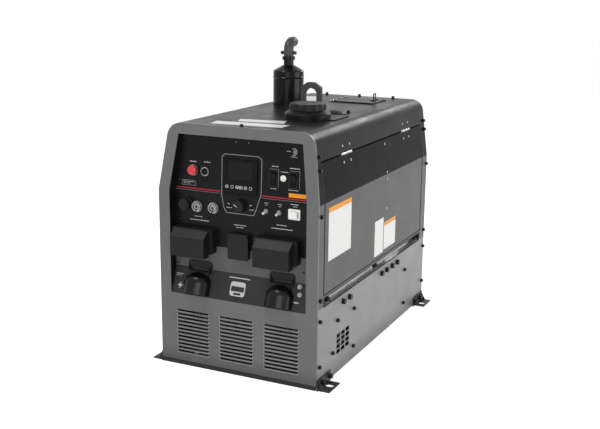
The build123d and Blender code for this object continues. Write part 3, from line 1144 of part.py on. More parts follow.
CAP_H = 20.5
NOTCH_R = 7.0
insert = revolve_z([(0, CASE_H), (NECK_R - 4, CASE_H), (NECK_R - 4, INS_Z), (46, INS_Z), (46, INS_Z + 3), (0, INS_Z + 3)], FILLER_X, FILLER_Y)
insert -= Pos(FILLER_X, FILLER_Y, INS_Z - 8) * Cylinder(8.0 + RUN_FIT, 30)
save("filler_insert", insert)
cap = revolve_z([(0, CASE_H + 22), (8, CASE_H + 22), (8, INS_Z + 3.3), (47, INS_Z + 3.3), (47, INS_Z), (CAP_R, INS_Z),
                 (CAP_R, INS_Z + CAP_H - 3), (CAP_R - 3, INS_Z + CAP_H), (0, INS_Z + CAP_H)], FILLER_X, FILLER_Y)
LOBES = 14
notches = []
for i in range(LOBES):
    spot = Rot(0, 0, i * 360.0 / LOBES) * Pos(CAP_R + 2.0, 0, INS_Z + 10)
    notches.append(Pos(FILLER_X, FILLER_Y, 0) * (spot * Cylinder(NOTCH_R, 40)))
cap -= notches
save("fuel_cap", cap)

# muffler, its can standing through the roof
MUFF_Z0 = 650.0
can_pts = [(0, MUFF_Z0), (MUFF_R - 6, MUFF_Z0), (MUFF_R, MUFF_Z0 + 6), (MUFF_R, 870), (MUFF_R + 2.2, 873), (MUFF_R, 876), (MUFF_R, 894)]
can_pts += [(MUFF_R - 3, 898), (27, 911), (22, 914), (17.5, 916), (17.5, 934), (22.5, 934), (22.5, 945.7), (15, 945.7), (15, 962)]
can_pts += [(13, 962), (13, 912), (0, 912)]
muffler = revolve_z(can_pts, MUFF_X, MUFF_Y)
save("muffler", muffler)


def bent_pipe(points, bend, r):
    path = FilletPolyline(*points, radius=bend)
    start = Plane(origin=path @ 0, z_dir=path % 0)
    return sweep(start * Circle(r), path=path)


ELBOW_R = 17.2
ELBOW_Z = 995.0
ELBOW_OUT = 40.0
ELBOW_BEND = 26.0
elbow_path = [(MUFF_X, MUFF_Y, 946.0), (MUFF_X, MUFF_Y, ELBOW_Z), (MUFF_X, MUFF_Y + ELBOW_OUT, ELBOW_Z)]
elbow = bent_pipe(elbow_path, ELBOW_BEND, ELBOW_R) - bent_pipe(elbow_path, ELBOW_BEND, 15.0 + RUN_FIT)
save("exhaust_elbow", elbow)
CLAMP_Z0 = 952.0
CLAMP_Z1 = 964.0
clamp = Pos(MUFF_X, MUFF_Y, (CLAMP_Z0 + CLAMP_Z1) / 2) * Cylinder(20.2, CLAMP_Z1 - CLAMP_Z0)
clamp += Pos(MUFF_X, MUFF_Y, (CLAMP_Z0 + CLAMP_Z1) / 2) * Box(56, 9, 12)
clamp -= Pos(MUFF_X, MUFF_Y, (CLAMP_Z0 + CLAMP_Z1) / 2) * Cylinder(ELBOW_R + RUN_FIT, 40)
for s in (-1, 1):
    clamp += Pos(MUFF_X + s * 24.0, MUFF_Y, (CLAMP_Z0 + CLAMP_Z1) / 2) * Rot(90, 0, 0) * Cylinder(3.0, 22)
clamp -= Pos(MUFF_X, MUFF_Y, (CLAMP_Z0 + CLAMP_Z1) / 2) * Cylinder(ELBOW_R + RUN_FIT, 40)
save("exhaust_clamp", clamp)

# exhaust runs from the two heads to the muffler
PIPE_R = 15.0
PORT_R = CYL_TOP - 21.0
hx = PORT_R / math.sqrt(2.0)
hz = SHAFT_Z + hx
port = FIN_R - 8.0 + CLEAR
left_run = [(-hx, CYL_Y[0] - port, hz), (-hx, MUFF_Y, hz), (-hx, MUFF_Y, 560), (MUFF_X, MUFF_Y, 600), (MUFF_X, MUFF_Y, MUFF_Z0 - CLEAR)]
right_run = [(hx, CYL_Y[1] - port, hz), (hx, 100, hz), (hx, 100, 626), (MUFF_X + 3, 100, 626), (MUFF_X + 3, MUFF_Y, 626)]
PIPE_BEND = 20.0
pipes = bent_pipe(left_run, PIPE_BEND, PIPE_R) + bent_pipe(right_run, PIPE_BEND, PIPE_R)
save("exhaust_pipe", pipes)

# ----------------------------------------------------------------- roof hatch
HATCH_T = 4.0
HATCH_PIN_X = HATCH_X0 - 3.6
HATCH_PIN_Z = CASE_H + CLEAR + 4.0
hatch_z0 = CASE_H + CLEAR
hatch_z1 = hatch_z0 + HATCH_T
barrel_r = 3.4
plate = box(HATCH_X0, HATCH_X1, HATCH_Y0, HATCH_Y1, hatch_z0, hatch_z1)
plate = fillet(plate.edges().filter_by(Axis.Z), 8.0)
plate = chamfer(plate.edges().group_by(Axis.Z)[-1], 1.0)
hinge_spans = ((HATCH_Y0 + 14, HATCH_Y0 + 34), (HATCH_Y1 - 34, HATCH_Y1 - 14))
plate += [box(HATCH_X0 - 4, HATCH_X0 + 4, a, b, hatch_z0 + 1, hatch_z1 + 1.4) for a, b in hinge_spans]
plate += [rod((HATCH_PIN_X, a, HATCH_PIN_Z), (HATCH_PIN_X, b, HATCH_PIN_Z), barrel_r) for a, b in hinge_spans]
plate -= rod((HATCH_PIN_X, HATCH_Y0, HATCH_PIN_Z), (HATCH_PIN_X, HATCH_Y1, HATCH_PIN_Z), PIN_R + RUN_FIT)
LATCH_X = 110.0
LATCH_Y = 352.0
LATCH_R = 4.0
plate -= Pos(LATCH_X, LATCH_Y, hatch_z0) * Cylinder(LATCH_R + RUN_FIT, 30)
save("roof_hatch", plate)
latch = rod((LATCH_X, LATCH_Y, CASE_H - 12), (LATCH_X, LATCH_Y, hatch_z1 + 3), LATCH_R)
latch += box(LATCH_X - 5, LATCH_X + 5, LATCH_Y - 5, LATCH_Y + 26, CASE_H - 10, CASE_H - 7)
latch += box(LATCH_X - 6, LATCH_X + 6, LATCH_Y - 25, LATCH_Y + 25, hatch_z1 + CLEAR, hatch_z1 + 3)
loop = [(LATCH_X, LATCH_Y - 9, hatch_z1 + 1), (LATCH_X, LATCH_Y - 9, hatch_z1 + 24), (LATCH_X, LATCH_Y + 9, hatch_z1 + 24)]
loop += [(LATCH_X, LATCH_Y + 9, hatch_z1 + 1)]
latch += bent_pipe(loop, 5.0, 2.2)
save("hatch_latch", latch)
ears = []
for a, b in hinge_spans:
    for y0, y1 in ((a - 6.3, a - 0.3), (b + 0.3, b + 6.3)):
        ear = rod((HATCH_PIN_X, y0, HATCH_PIN_Z), (HATCH_PIN_X, y1, HATCH_PIN_Z), barrel_r)
        ear += box(HATCH_PIN_X - 16, HATCH_PIN_X, y0, y1, hatch_z0, hatch_z0 + 2.5)
        ears.append(ear)
    pin = rod((HATCH_PIN_X, a - 4, HATCH_PIN_Z), (HATCH_PIN_X, b + 4, HATCH_PIN_Z), PIN_R)
    leaf = box(HATCH_PIN_X - 18, HATCH_PIN_X - 5, a - 6.3, b + 6.3, hatch_z0, hatch_z0 + 2.0)
    ears.append(pin)
    ears.append(leaf)
hatch_ears = ears[0] + ears[1:]
save("hinge_leaves_roof", roof_leaves + roof_rivets + [mirror_x(s) for s in roof_leaves + roof_rivets] + [hatch_ears])
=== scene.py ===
import math
import bpy
import bmesh
from mathutils import Matrix, Vector


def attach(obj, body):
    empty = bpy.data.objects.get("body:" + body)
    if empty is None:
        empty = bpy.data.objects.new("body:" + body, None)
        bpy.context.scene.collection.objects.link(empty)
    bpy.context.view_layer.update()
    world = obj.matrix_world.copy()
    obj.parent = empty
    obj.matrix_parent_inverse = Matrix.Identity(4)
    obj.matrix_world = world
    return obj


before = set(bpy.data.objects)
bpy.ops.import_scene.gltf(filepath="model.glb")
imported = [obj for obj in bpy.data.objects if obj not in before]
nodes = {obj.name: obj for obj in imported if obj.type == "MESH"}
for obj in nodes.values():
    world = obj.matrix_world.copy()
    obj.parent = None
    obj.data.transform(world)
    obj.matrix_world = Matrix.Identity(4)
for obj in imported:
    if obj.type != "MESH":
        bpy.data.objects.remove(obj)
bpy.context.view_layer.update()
scene = bpy.context.scene

# ------------------------------------------------------------------ the view
EYE = Vector((1.37315, -2.94627, 1.18903))
LENS = 57.606
SENSOR = 36.0
TURN = math.radians(25.316)
RAISE = math.radians(13.420)
ROLL = math.radians(0.594)

# places on the case that marks, seals and paint breaks follow, in metres
PANEL_Y = -0.461
FOLD_Z = 0.565
OUT_Z = 0.322
BELT_Z = 0.571
ROOF_Z = 0.778
LEDGE_Z = 0.2535
LIT_ZINC_Z = LEDGE_Z - 0.0014
LIT_ZINC_HALF_LENGTH = 0.4492
SHEET_Y = -0.495
PAN_TOP = 0.010
UP_SLOPE = 0.0501
OUT_SLOPE = 0.3902
SIDE_SLOPE = 0.13285
SIDE_X = 0.273
KNOB_FACE_Y = -0.4805
DOOR_TOP_Z = 0.6880
DOOR_FOOT_Z = 0.2903
DOOR_ENDS = (-0.4492, 0.4402)
POST_EDGES = (-0.4520, 0.4430)
POST_EDGE_FOOT_Z = 0.2885
LOUVRE_COLUMNS = ((-0.213, -0.098), (-0.059, 0.058), (0.097, 0.213))
LOUVRE_ROWS = 12
LOUVRE_Z0 = 0.0463
LOUVRE_PITCH = 0.0124
CONNECTORS = ((-0.153, 0.521), (-0.095, 0.522))
CONNECTOR_FACE_H = 0.0100
CONNECTOR_RIM_H = 0.0120
KEY_SLOT_HALF = 0.0019


def make_view():
    out = math.cos(RAISE)
    back = Vector((math.sin(TURN) * out, -math.cos(TURN) * out, math.sin(RAISE)))
    right = (-back).cross(Vector((0, 0, 1))).normalized()
    up = right.cross(-back)
    side = math.cos(ROLL) * right + math.sin(ROLL) * up
    top = -math.sin(ROLL) * right + math.cos(ROLL) * up
    data = bpy.data.cameras.new("view")
    data.lens = LENS
    data.sensor_width = SENSOR
    data.sensor_fit = "HORIZONTAL"
    data.clip_end = 60.0
    obj = bpy.data.objects.new("view", data)
    turn = Matrix((side, top, back)).transposed().to_4x4()
    obj.matrix_world = Matrix.Translation(EYE) @ turn
    scene.collection.objects.link(obj)
    scene.camera = obj


make_view()


# ------------------------------------------------------------ node shorthand
# width of a paint break, in metres
SOFT = 0.0004


class Finish:
    # one material under construction: its tree, its shader and its position
    def __init__(self, name, color, rough, metal=0.0, sheen=0.5):
        self.mat = bpy.data.materials.new(name)
        self.mat.use_nodes = True
        self.tree = self.mat.node_tree
        self.tree.nodes.clear()
        out = self.tree.nodes.new("ShaderNodeOutputMaterial")
        self.shader = self.tree.nodes.new("ShaderNodeBsdfPrincipled")
        self.tree.links.new(self.shader.outputs[0], out.inputs[0])
        self.place = self.tree.nodes.new("ShaderNodeTexCoord").outputs["Object"]
        self.set("Base Color", (*color, 1.0))
        self.set("Roughness", rough)
        self.set("Metallic", metal)
        self.set("Specular IOR Level", sheen)
        self.mat.diffuse_color = (*color, 1.0)

    def set(self, socket, value):
        if isinstance(value, bpy.types.NodeSocket):
            self.tree.links.new(value, self.shader.inputs[socket])
        else:
            self.shader.inputs[socket].default_value = value

    def stretched(self, scale):
        n = self.tree.nodes.new("ShaderNodeMapping")
        n.inputs["Scale"].default_value = scale
        self.tree.links.new(self.place, n.inputs[0])
        return n.outputs[0]

    def noise(self, scale, detail=2.0, rough=0.5, vector=None):
        n = self.tree.nodes.new("ShaderNodeTexNoise")
        n.inputs["Scale"].default_value = scale
        n.inputs["Detail"].default_value = detail
        n.inputs["Roughness"].default_value = rough
        self.tree.links.new(vector or self.place, n.inputs["Vector"])
        return n.outputs[0]

    def cells(self, scale):
        n = self.tree.nodes.new("ShaderNodeTexVoronoi")
        n.inputs["Scale"].default_value = scale
        self.tree.links.new(self.place, n.inputs["Vector"])
        return n.outputs[0]

    def steps(self, value, lo, hi, a=0.0, b=1.0):
        n = self.tree.nodes.new("ShaderNodeMapRange")
        n.clamp = True
        for i, v in enumerate((lo, hi, a, b)):
            n.inputs[i + 1].default_value = v
        self.tree.links.new(value, n.inputs[0])
        return n.outputs[0]

    def math(self, op, a, b=0.0):
        n = self.tree.nodes.new("ShaderNodeMath")
        n.operation = op
        for i, v in enumerate((a, b)):
            if isinstance(v, bpy.types.NodeSocket):
                self.tree.links.new(v, n.inputs[i])
            else:
                n.inputs[i].default_value = v
        return n.outputs[0]

    def mix(self, part, a, b):
        # inputs 6 and 7 are the two colours, output 2 is the mixed one
        n = self.tree.nodes.new("ShaderNodeMix")
        n.data_type = "RGBA"
        for i, v in ((0, part), (6, a), (7, b)):
            if isinstance(v, bpy.types.NodeSocket):
                self.tree.links.new(v, n.inputs[i])
            elif i:
                n.inputs[i].default_value = (*v, 1.0)
            else:
                n.inputs[i].default_value = v
        return n.outputs[2]

    def axis(self, which):
        n = self.tree.nodes.new("ShaderNodeSeparateXYZ")
        self.tree.links.new(self.place, n.inputs[0])
        return n.outputs[which]

    def above(self, height):
        return self.steps(self.axis(2), height - SOFT / 2, height + SOFT / 2)

    def bump(self, height, strength, depth):
        n = self.tree.nodes.new("ShaderNodeBump")
        n.inputs["Strength"].default_value = strength
        n.inputs["Distance"].default_value = depth
        self.tree.links.new(height, n.inputs["Height"])
        self.set("Normal", n.outputs[0])


def tint(color, k):
    return tuple(min(1.0, c * k) for c in color)


BLACK = (0.006, 0.006, 0.0065)
DUST = (0.36, 0.34, 0.31)
SPLASH_AND_SHADE = (0.045, 0.043, 0.040)
# pale colour for the louvre lip edges: a painted highlight
LIP_HIGHLIGHT = (0.20, 0.20, 0.20)
SILL_BLACK = (0.006, 0.006, 0.006)
# near-white colours for the zinc inside the slot: zinc, made lighter as painted light
LIT_SPANGLES = ((0.86, 0.86, 0.85), (0.94, 0.94, 0.93))


def powder_coat(name, color, rough, over=None, split=BELT_Z, dust=0.10, sheen=0.5,
                lit_zinc_above=None, peel=0.10, lit_lips=None, black_below=None):
    # baked paint on sheet steel: faint orange peel, fine dust, and darker patches low down that are
    # road splash and painted shade near the floor;
    # over is a second colour above the split height
    f = Finish(name, color, rough, sheen=sheen)
    cloud = f.steps(f.noise(7.0, 4.0, 0.6), 0.35, 0.7)
    base = f.mix(cloud, tint(color, 0.94), tint(color, 1.07))
    if over:
        base = f.mix(f.above(split), base, f.mix(cloud, tint(over, 0.92), tint(over, 1.1)))
    specks = f.steps(f.noise(260.0, 2.0, 0.7), 0.66, 0.78, 0.0, dust)
    base = f.mix(specks, base, DUST)
    # darker towards the bottom in patches: road splash, made strong enough to also paint the shade
    # near the floor
    patches = f.steps(f.noise(16.0, 4.0, 0.6), 0.2, 0.7, 0.38, 0.80)
    splash_and_shade = f.math("MULTIPLY", f.steps(f.axis(2), 0.064, 0.014), patches)
    base = f.mix(splash_and_shade, base, SPLASH_AND_SHADE)
    smear = f.steps(f.noise(11.0, 3.0, 0.6), 0.3, 0.75, rough - 0.05, rough + 0.09)
    if lit_zinc_above:
        # unpainted zinc inside the long slot, coloured near white as painted light on the ledge and
        # upstand; its flat ledge is the shinier part
        along = f.math("ABSOLUTE", f.axis(1))
        within = f.steps(along, LIT_ZINC_HALF_LENGTH + SOFT / 2, LIT_ZINC_HALF_LENGTH - SOFT / 2)
        bare_and_lit = f.math("MULTIPLY", f.above(lit_zinc_above), within)
        ledge_top = lit_zinc_above + 0.0024
        ledge = f.steps(f.axis(2), ledge_top + SOFT / 2, ledge_top - SOFT / 2)
        flat = f.math("MULTIPLY", bare_and_lit, ledge)
        lit_spangle = f.mix(f.steps(f.cells(90.0), 0.0, 0.9), *LIT_SPANGLES)
        base = f.mix(bare_and_lit, base, lit_spangle)
        f.set("Metallic", f.math("MULTIPLY", flat, 0.72))
        smear = f.math("SUBTRACT", smear, f.math("MULTIPLY", flat, 0.26))
    if lit_lips:
        # the outer edges of the louvre lips are painted lighter, unevenly: a painted highlight
        # where light from above catches them
        face, top = lit_lips
        proud = f.steps(f.axis(1), face, face - 0.0006)
        edge = f.math("MULTIPLY", proud, f.steps(f.axis(2), top + 0.004, top))
        lip_glint = f.math("MULTIPLY", edge, f.steps(f.noise(40.0, 3.0, 0.6), 0.25, 0.7, 0.65, 1.0))
        base = f.mix(lip_glint, base, LIP_HIGHLIGHT)
    if black_below:
        base = f.mix(f.above(black_below), SILL_BLACK, base)
    f.set("Base Color", base)
    f.set("Roughness", smear)
    f.bump(f.noise(750.0, 1.0, 0.5), peel, 0.0004)
    return f.mat


def baked_enamel(name, color):
    # smooth stove enamel with a slight cloudiness and long soft runs
    f = Finish(name, color, 0.2, sheen=0.12)
    run = f.steps(f.noise(14.0, 3.0, 0.55, f.stretched((1, 1, 0.12))), 0.35, 0.7)
    f.set("Base Color", f.mix(run, tint(color, 0.8), tint(color, 1.5)))
    f.set("Roughness", f.steps(run, 0.0, 1.0, 0.17, 0.27))
    f.bump(f.noise(60.0, 1.0, 0.5), 0.04, 0.0004)
    return f.mat


def moulded(name, color, rough=0.5, grain=1500.0, strength=0.25, sheen=0.5, wear=2.2):
    # moulded plastic with a fine spark-eroded grain
    f = Finish(name, color, rough, sheen=sheen)
    cloud = f.steps(f.noise(14.0, 3.0, 0.6), 0.3, 0.75)
    scuff = f.steps(f.noise(60.0, 5.0, 0.75, f.stretched((1, 1, 0.25))), 0.62, 0.8, 0.0, 0.25)
    base = f.mix(cloud, tint(color, 0.85), tint(color, 1.2))
    f.set("Base Color", f.mix(scuff, base, tint(color, wear)))
    f.set("Roughness", f.steps(cloud, 0.0, 1.0, rough - 0.05, rough + 0.08))
    f.bump(f.cells(grain), strength, 0.0003)
    return f.mat


def lens_plastic(name, color, dim, split):
    # lit lamp lens below the split height, small unlit lenses above it
    f = Finish(name, color, 0.2)
    inner = f.mix(f.steps(f.noise(90.0, 2.0), 0.3, 0.7), tint(color, 0.92), color)
    f.set("Base Color", f.mix(f.above(split), inner, dim))
    f.bump(f.noise(400.0, 1.0), 0.05, 0.0002)
    return f.mat


def plated(name, color, rough=0.32, tarnish=(0.3, 0.28, 0.24)):
    # zinc plate: cloudy bright metal with duller patches
    f = Finish(name, color, rough, 1.0)
    cloud = f.steps(f.noise(120.0, 4.0, 0.6), 0.4, 0.75)
    f.set("Base Color", f.mix(f.math("MULTIPLY", cloud, 0.5), color, tarnish))
    f.set("Roughness", f.steps(cloud, 0.0, 1.0, rough - 0.06, rough + 0.2))
    f.bump(f.noise(900.0, 2.0, 0.6), 0.12, 0.0003)
    return f.mat


def cast_metal(name, color, rough=0.5, metal=1.0, sheen=0.5, grain=0.5):
    f = Finish(name, color, rough, metal, sheen)
    grime = f.steps(f.noise(18.0, 5.0, 0.7), 0.45, 0.8)
    f.set("Base Color", f.mix(grime, color, tint(color, 0.45)))
    f.set("Roughness", f.steps(grime, 0.0, 1.0, rough - 0.08, rough + 0.25))
    f.bump(f.noise(420.0, 4.0, 0.7), grain, 0.0008)
    return f.mat


def stacked_sheets(name, color):
    # laminated core: thin sheets stacked along the shaft, 1.2 mm from one to the next
    f = Finish(name, color, 0.42, 0.9)
    wave = f.math("SINE", f.math("MULTIPLY", f.axis(1), 5200.0))
    f.set("Base Color", f.mix(f.steps(f.noise(25.0, 3.0), 0.4, 0.8), color, (0.20, 0.11, 0.07)))
    f.bump(wave, 0.35, 0.0004)
    return f.mat


def rubber(name, color=(0.018, 0.018, 0.019)):
    f = Finish(name, color, 0.75, sheen=0.25)
    bloom = f.steps(f.noise(40.0, 4.0, 0.6), 0.5, 0.8, 0.0, 0.5)
    f.set("Base Color", f.mix(bloom, color, (0.07, 0.068, 0.065)))
    f.bump(f.noise(1100.0, 2.0, 0.6), 0.25, 0.0004)
    return f.mat


def heat_blued(name, color, hot):
    # aluminised steel, browned where it runs hottest
    f = Finish(name, color, 0.38, 1.0)
    streak = f.noise(30.0, 4.0, 0.6, f.stretched((1, 1, 0.15)))
    f.set("Base Color", f.mix(f.steps(streak, 0.45, 0.9), color, hot))
    f.set("Roughness", f.steps(streak, 0.3, 0.8, 0.28, 0.55))
    f.bump(f.noise(500.0, 3.0, 0.6), 0.2, 0.0004)
    return f.mat


CHARCOAL = (0.009, 0.009, 0.0095)
GREY = (0.125, 0.125, 0.124)
LIGHT_GREY = (0.208, 0.208, 0.207)
FRONT_GREY = (0.128, 0.130, 0.131)

side_paint = powder_coat("door paint", GREY, 0.30, over=CHARCOAL, sheen=0.025)
roof_paint = powder_coat("roof paint", (0.010, 0.010, 0.0105), 0.30, dust=0.03, sheen=0.07,
                         peel=0.015)
bail_paint = powder_coat("bail paint", (0.060, 0.061, 0.062), 0.4, dust=0.06, sheen=0.2)
frame_paint = powder_coat("post paint", GREY, 0.32, over=CHARCOAL, sheen=0.04)
# pale paint for the drawn louvre ends: a painted highlight of the light on them
end_highlight_paint = powder_coat("louvre end highlight paint", (0.46, 0.46, 0.45), 0.34, sheen=0.4)
front_paint = powder_coat("front paint", FRONT_GREY, 0.36, sheen=0.3,
                          lit_lips=(SHEET_Y - 0.0004, 0.200), black_below=0.017)
rear_paint = powder_coat("rear paint", FRONT_GREY, 0.42, sheen=0.3)
skirt_paint = powder_coat("lower side paint", LIGHT_GREY, 0.38, sheen=0.3, lit_zinc_above=LIT_ZINC_Z)
black_paint = powder_coat("black chassis paint", BLACK, 0.36, dust=0.04, sheen=0.12)
panel_paint = powder_coat("control panel black", BLACK, 0.30, dust=0.02, sheen=0.12)
output_paint = powder_coat("output panel grey", (0.024, 0.024, 0.025), 0.42,
                           over=(0.095, 0.096, 0.098), split=OUT_Z, dust=0.03, sheen=0.2)
black_plastic = moulded("black moulded plastic", (0.007, 0.007, 0.0075), 0.42, sheen=0.18)
cap_plastic = moulded("cap plastic", (0.017, 0.017, 0.0175), 0.42, sheen=0.15)
tray_plastic = moulded("tray plastic", BLACK, 0.34, sheen=0.08)
case_plastic = moulded("battery case plastic", (0.008, 0.008, 0.009), 0.5, 700.0, 0.3, sheen=0.1)
lid_plastic = moulded("outlet lid plastic", (0.009, 0.009, 0.010), 0.34, 1100.0, 0.12, sheen=0.18)
hood_plastic = moulded("hood plastic", (0.004, 0.004, 0.0045), 0.28, 900.0, 0.12, sheen=0.2)
tank_plastic = moulded("tank plastic", (0.02, 0.02, 0.022), 0.55, 700.0, 0.3)
gloss_black = moulded("gloss black plastic", (0.004, 0.004, 0.005), 0.16, 2500.0, 0.03, sheen=0.12)
red_plastic = moulded("red button plastic", (0.62, 0.035, 0.045), 0.22, 2500.0, 0.03, wear=1.3)
lamp_lens = lens_plastic("lamp lens", (0.82, 0.80, 0.74), (0.05, 0.13, 0.10), 0.70)
pale_plastic = moulded("pale toggle plastic", (0.66, 0.66, 0.64), 0.35, 2500.0, 0.05, wear=1.2)
clear_boot = moulded("pale boot", (0.80, 0.80, 0.78), 0.28, 2500.0, 0.05, wear=1.1)
zinc = plated("zinc plate", (0.52, 0.52, 0.51))
hinge_zinc = plated("hinge zinc", (0.40, 0.40, 0.395), 0.4)
dull_zinc = plated("dull zinc", (0.30, 0.30, 0.30), 0.4, (0.12, 0.12, 0.12))
black_zinc = plated("black zinc", (0.030, 0.030, 0.032), 0.36, (0.012, 0.012, 0.012))
castings = cast_metal("cast aluminium", (0.50, 0.50, 0.50))
engine_black = cast_metal("engine black", (0.02, 0.02, 0.021), 0.45, 0.0, 0.3)
core_sheets = stacked_sheets("core sheets", (0.22, 0.22, 0.23))
hot_steel = heat_blued("exhaust steel", (0.42, 0.41, 0.40), (0.34, 0.24, 0.15))
can_paint = baked_enamel("muffler enamel", (0.005, 0.005, 0.0055))
elbow_steel = cast_metal("elbow steel", (0.050, 0.050, 0.052), 0.48, 0.25, 0.3, 0.12)
mount_rubber = rubber("mount rubber")

coats = {
    "base_frame": black_paint, "base_sides": skirt_paint, "door_frames": frame_paint,
    "front_frame": front_paint, "rear_panel": rear_paint, "roof_cover": roof_paint,
    "roof_hatch": roof_paint, "hatch_latch": black_zinc, "hinge_leaves_roof": hinge_zinc,
    "hinge_leaves_door_right": hinge_zinc, "hinge_leaves_door_left": hinge_zinc,
    "door_right": side_paint, "door_left": side_paint, "mounting_feet": black_paint,
    "lift_bail": bail_paint, "fuel_tank": tank_plastic, "filler_flange": tray_plastic,
    "filler_insert": black_plastic, "fuel_cap": cap_plastic, "muffler": can_paint,
    "exhaust_elbow": elbow_steel, "exhaust_clamp": elbow_steel, "exhaust_pipe": hot_steel,
    "engine_block": castings, "engine_cylinders": castings, "blower_housing": tank_plastic,
    "flywheel_fan": castings, "air_cleaner": black_plastic, "oil_filter": gloss_black,
    "starter_motor": engine_black, "generator_stator": core_sheets,
    "generator_rotor": core_sheets, "generator_end_bell": castings, "shaft_bearings": zinc,
    "battery": case_plastic, "isolation_mounts": mount_rubber, "power_module": engine_black,
    "control_panel": panel_paint, "output_panel": output_paint, "display_module": gloss_black,
    "encoder_knob": black_plastic, "panel_bezels": dull_zinc, "indicator_lenses": lamp_lens,
    "rocker_left": gloss_black, "rocker_right": gloss_black, "toggle_left": pale_plastic,
    "toggle_right": pale_plastic, "red_button": red_plastic, "black_button": gloss_black,
    "connectors": dull_zinc, "connector_cap": black_plastic, "breaker_boot": clear_boot,
    "panel_housings": black_plastic, "lid_left": lid_plastic, "lid_middle": lid_plastic,
    "lid_right": lid_plastic, "output_studs": dull_zinc, "hood_left": hood_plastic,
    "hood_right": hood_plastic, "case_fasteners": black_zinc,
}
for name, obj in nodes.items():
    obj.data.materials.clear()
    obj.data.materials.append(coats[name])


# ------------------------------------------------- surfaces to draw things on
def on_panel(x, z, h):
    # h is the distance off the face, here and below
    if z > FOLD_Z:
        lean = UP_SLOPE
        y = PANEL_Y + (z - FOLD_Z) * UP_SLOPE
    elif z < OUT_Z:
        lean = OUT_SLOPE
        y = PANEL_Y - (OUT_Z - z) * OUT_SLOPE
    else:
        lean = 0.0
        y = PANEL_Y
    n = Vector((0.0, -1.0, lean)).normalized()
    return Vector((x, y, z)) + n * h


def on_side(y, z, h):
    lean = SIDE_SLOPE if z > BELT_Z else 0.0
    x = SIDE_X - max(0.0, z - BELT_Z) * SIDE_SLOPE
    return Vector((x, y, z)) + Vector((1.0, 0.0, lean)).normalized() * h


def on_roof(x, y, h):
    return Vector((x, y, ROOF_Z + h))


def rounded(points, r, n=5):
    # the outline with every corner turned into an arc of radius r
    out = []
    count = len(points)
    for i in range(count):
        a = Vector(points[i - 1])
        b = Vector(points[i])
        c = Vector(points[(i + 1) % count])
        u = (a - b).normalized()
        v = (c - b).normalized()
        half = math.acos(max(-1.0, min(1.0, u.dot(v)))) / 2
        reach = min(r / math.tan(half), (a - b).length / 2, (c - b).length / 2)
        p = b + u * reach
        q = b + v * reach
        for k in range(n + 1):
            t = k / n
            out.append(tuple((1 - t) ** 2 * p + 2 * t * (1 - t) * b + t * t * q))
    return out


def oblong(u0, u1, v0, v1, r=0.0):
    pts = [(u0, v0), (u1, v0), (u1, v1), (u0, v1)]
    return rounded(pts, r) if r else pts


def arc(u, v, r, start=0.0, end=360.0, n=32):
    turn = [math.radians(start + (end - start) * i / n) for i in range(n + (end - start < 360.0))]
    return [(u + r * math.cos(t), v + r * math.sin(t)) for t in turn]


def finish_piece(name, bm, mat, body):
    bmesh.ops.recalc_face_normals(bm, faces=bm.faces)
    mesh = bpy.data.meshes.new(name)
    bm.to_mesh(mesh)
    bm.free()
    mesh.materials.append(mat)
    obj = bpy.data.objects.new(name, mesh)
    scene.collection.objects.link(obj)
    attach(obj, body)


def film_into(bm, outline, place, low, high):
    # a thin closed sheet with that outline
    top = [bm.verts.new(place(u, v, high)) for u, v in outline]
    foot = [bm.verts.new(place(u, v, low)) for u, v in outline]
    bm.faces.new(top)
    bm.faces.new(foot[::-1])
    n = len(outline)
    for i in range(n):
        j = (i + 1) % n
        bm.faces.new((top[j], top[i], foot[i], foot[j]))


def film(name, outlines, place, mat, body="case", high=0.0003, low=-0.0002):
    bm = bmesh.new()
    for outline in outlines:
        film_into(bm, outline, place, low, high)
    finish_piece(name, bm, mat, body)


def line_into(bm, points, width, place, closed, high=0.0003, low=-0.0002):
    # a ribbon of that width along the points, bent where the sheet bends
    pts = [Vector(p) for p in points]
    n = len(pts)
    sides = []
    for i in range(n):
        if closed:
            a = pts[i - 1]
            c = pts[(i + 1) % n]
        else:
            a = pts[max(i - 1, 0)]
            c = pts[min(i + 1, n - 1)]
        b = pts[i]
        d0 = (b - a).normalized() if (b - a).length else (c - b).normalized()
        d1 = (c - b).normalized() if (c - b).length else d0
        d = (d0 + d1).normalized()
        k = width / 2 / max(0.4, d.dot(d0))
        side = Vector((-d.y, d.x)) * k
        sides.append((b + side, b - side))
    rings = []
    for left, right in sides:
        corners = ((left, high), (right, high), (right, low), (left, low))
        rings.append([bm.verts.new(place(p.x, p.y, h)) for p, h in corners])
    last = n if closed else n - 1
    for i in range(last):
        a = rings[i]
        b = rings[(i + 1) % n]
        for k in range(4):
            m = (k + 1) % 4
            bm.faces.new((a[k], a[m], b[m], b[k]))
    if not closed:
        bm.faces.new(rings[0])
        bm.faces.new(rings[-1][::-1])


def lines(name, paths, width, place, mat, body="case", closed=False, high=0.0003):
    bm = bmesh.new()
    for path in paths:
        line_into(bm, path, width, place, closed, high)
    finish_piece(name, bm, mat, body)


def printed(name, color, rough=0.45, sheen=0.3):
    # screen-printed ink or label film, faintly uneven
    f = Finish(name, color, rough, sheen=sheen)
    wear = f.steps(f.noise(300.0, 3.0, 0.6), 0.35, 0.75)
    f.set("Base Color", f.mix(wear, tint(color, 0.9), color))
    f.bump(f.noise(1400.0, 1.0), 0.05, 0.0002)
    return f.mat


silver_ink = printed("silver ink", (0.30, 0.30, 0.31))
# grey for the line along the panel's fold: a painted highlight of the bend
fold_highlight_paint = printed("fold highlight paint", (0.13, 0.13, 0.132))
pale_ink = printed("pale ink", (0.55, 0.55, 0.55))
red_ink = printed("red ink", (0.42, 0.012, 0.022))
amber_ink = printed("amber ink", (0.80, 0.30, 0.015))
label_white = printed("label film", (0.74, 0.74, 0.72), 0.35)
label_grey = printed("label grey", (0.52, 0.52, 0.51), 0.4)
dark_ink = printed("dark ink", (0.02, 0.02, 0.021), 0.4)
screen_glass = printed("screen glass", (0.010, 0.010, 0.0115), 0.10, 0.12)

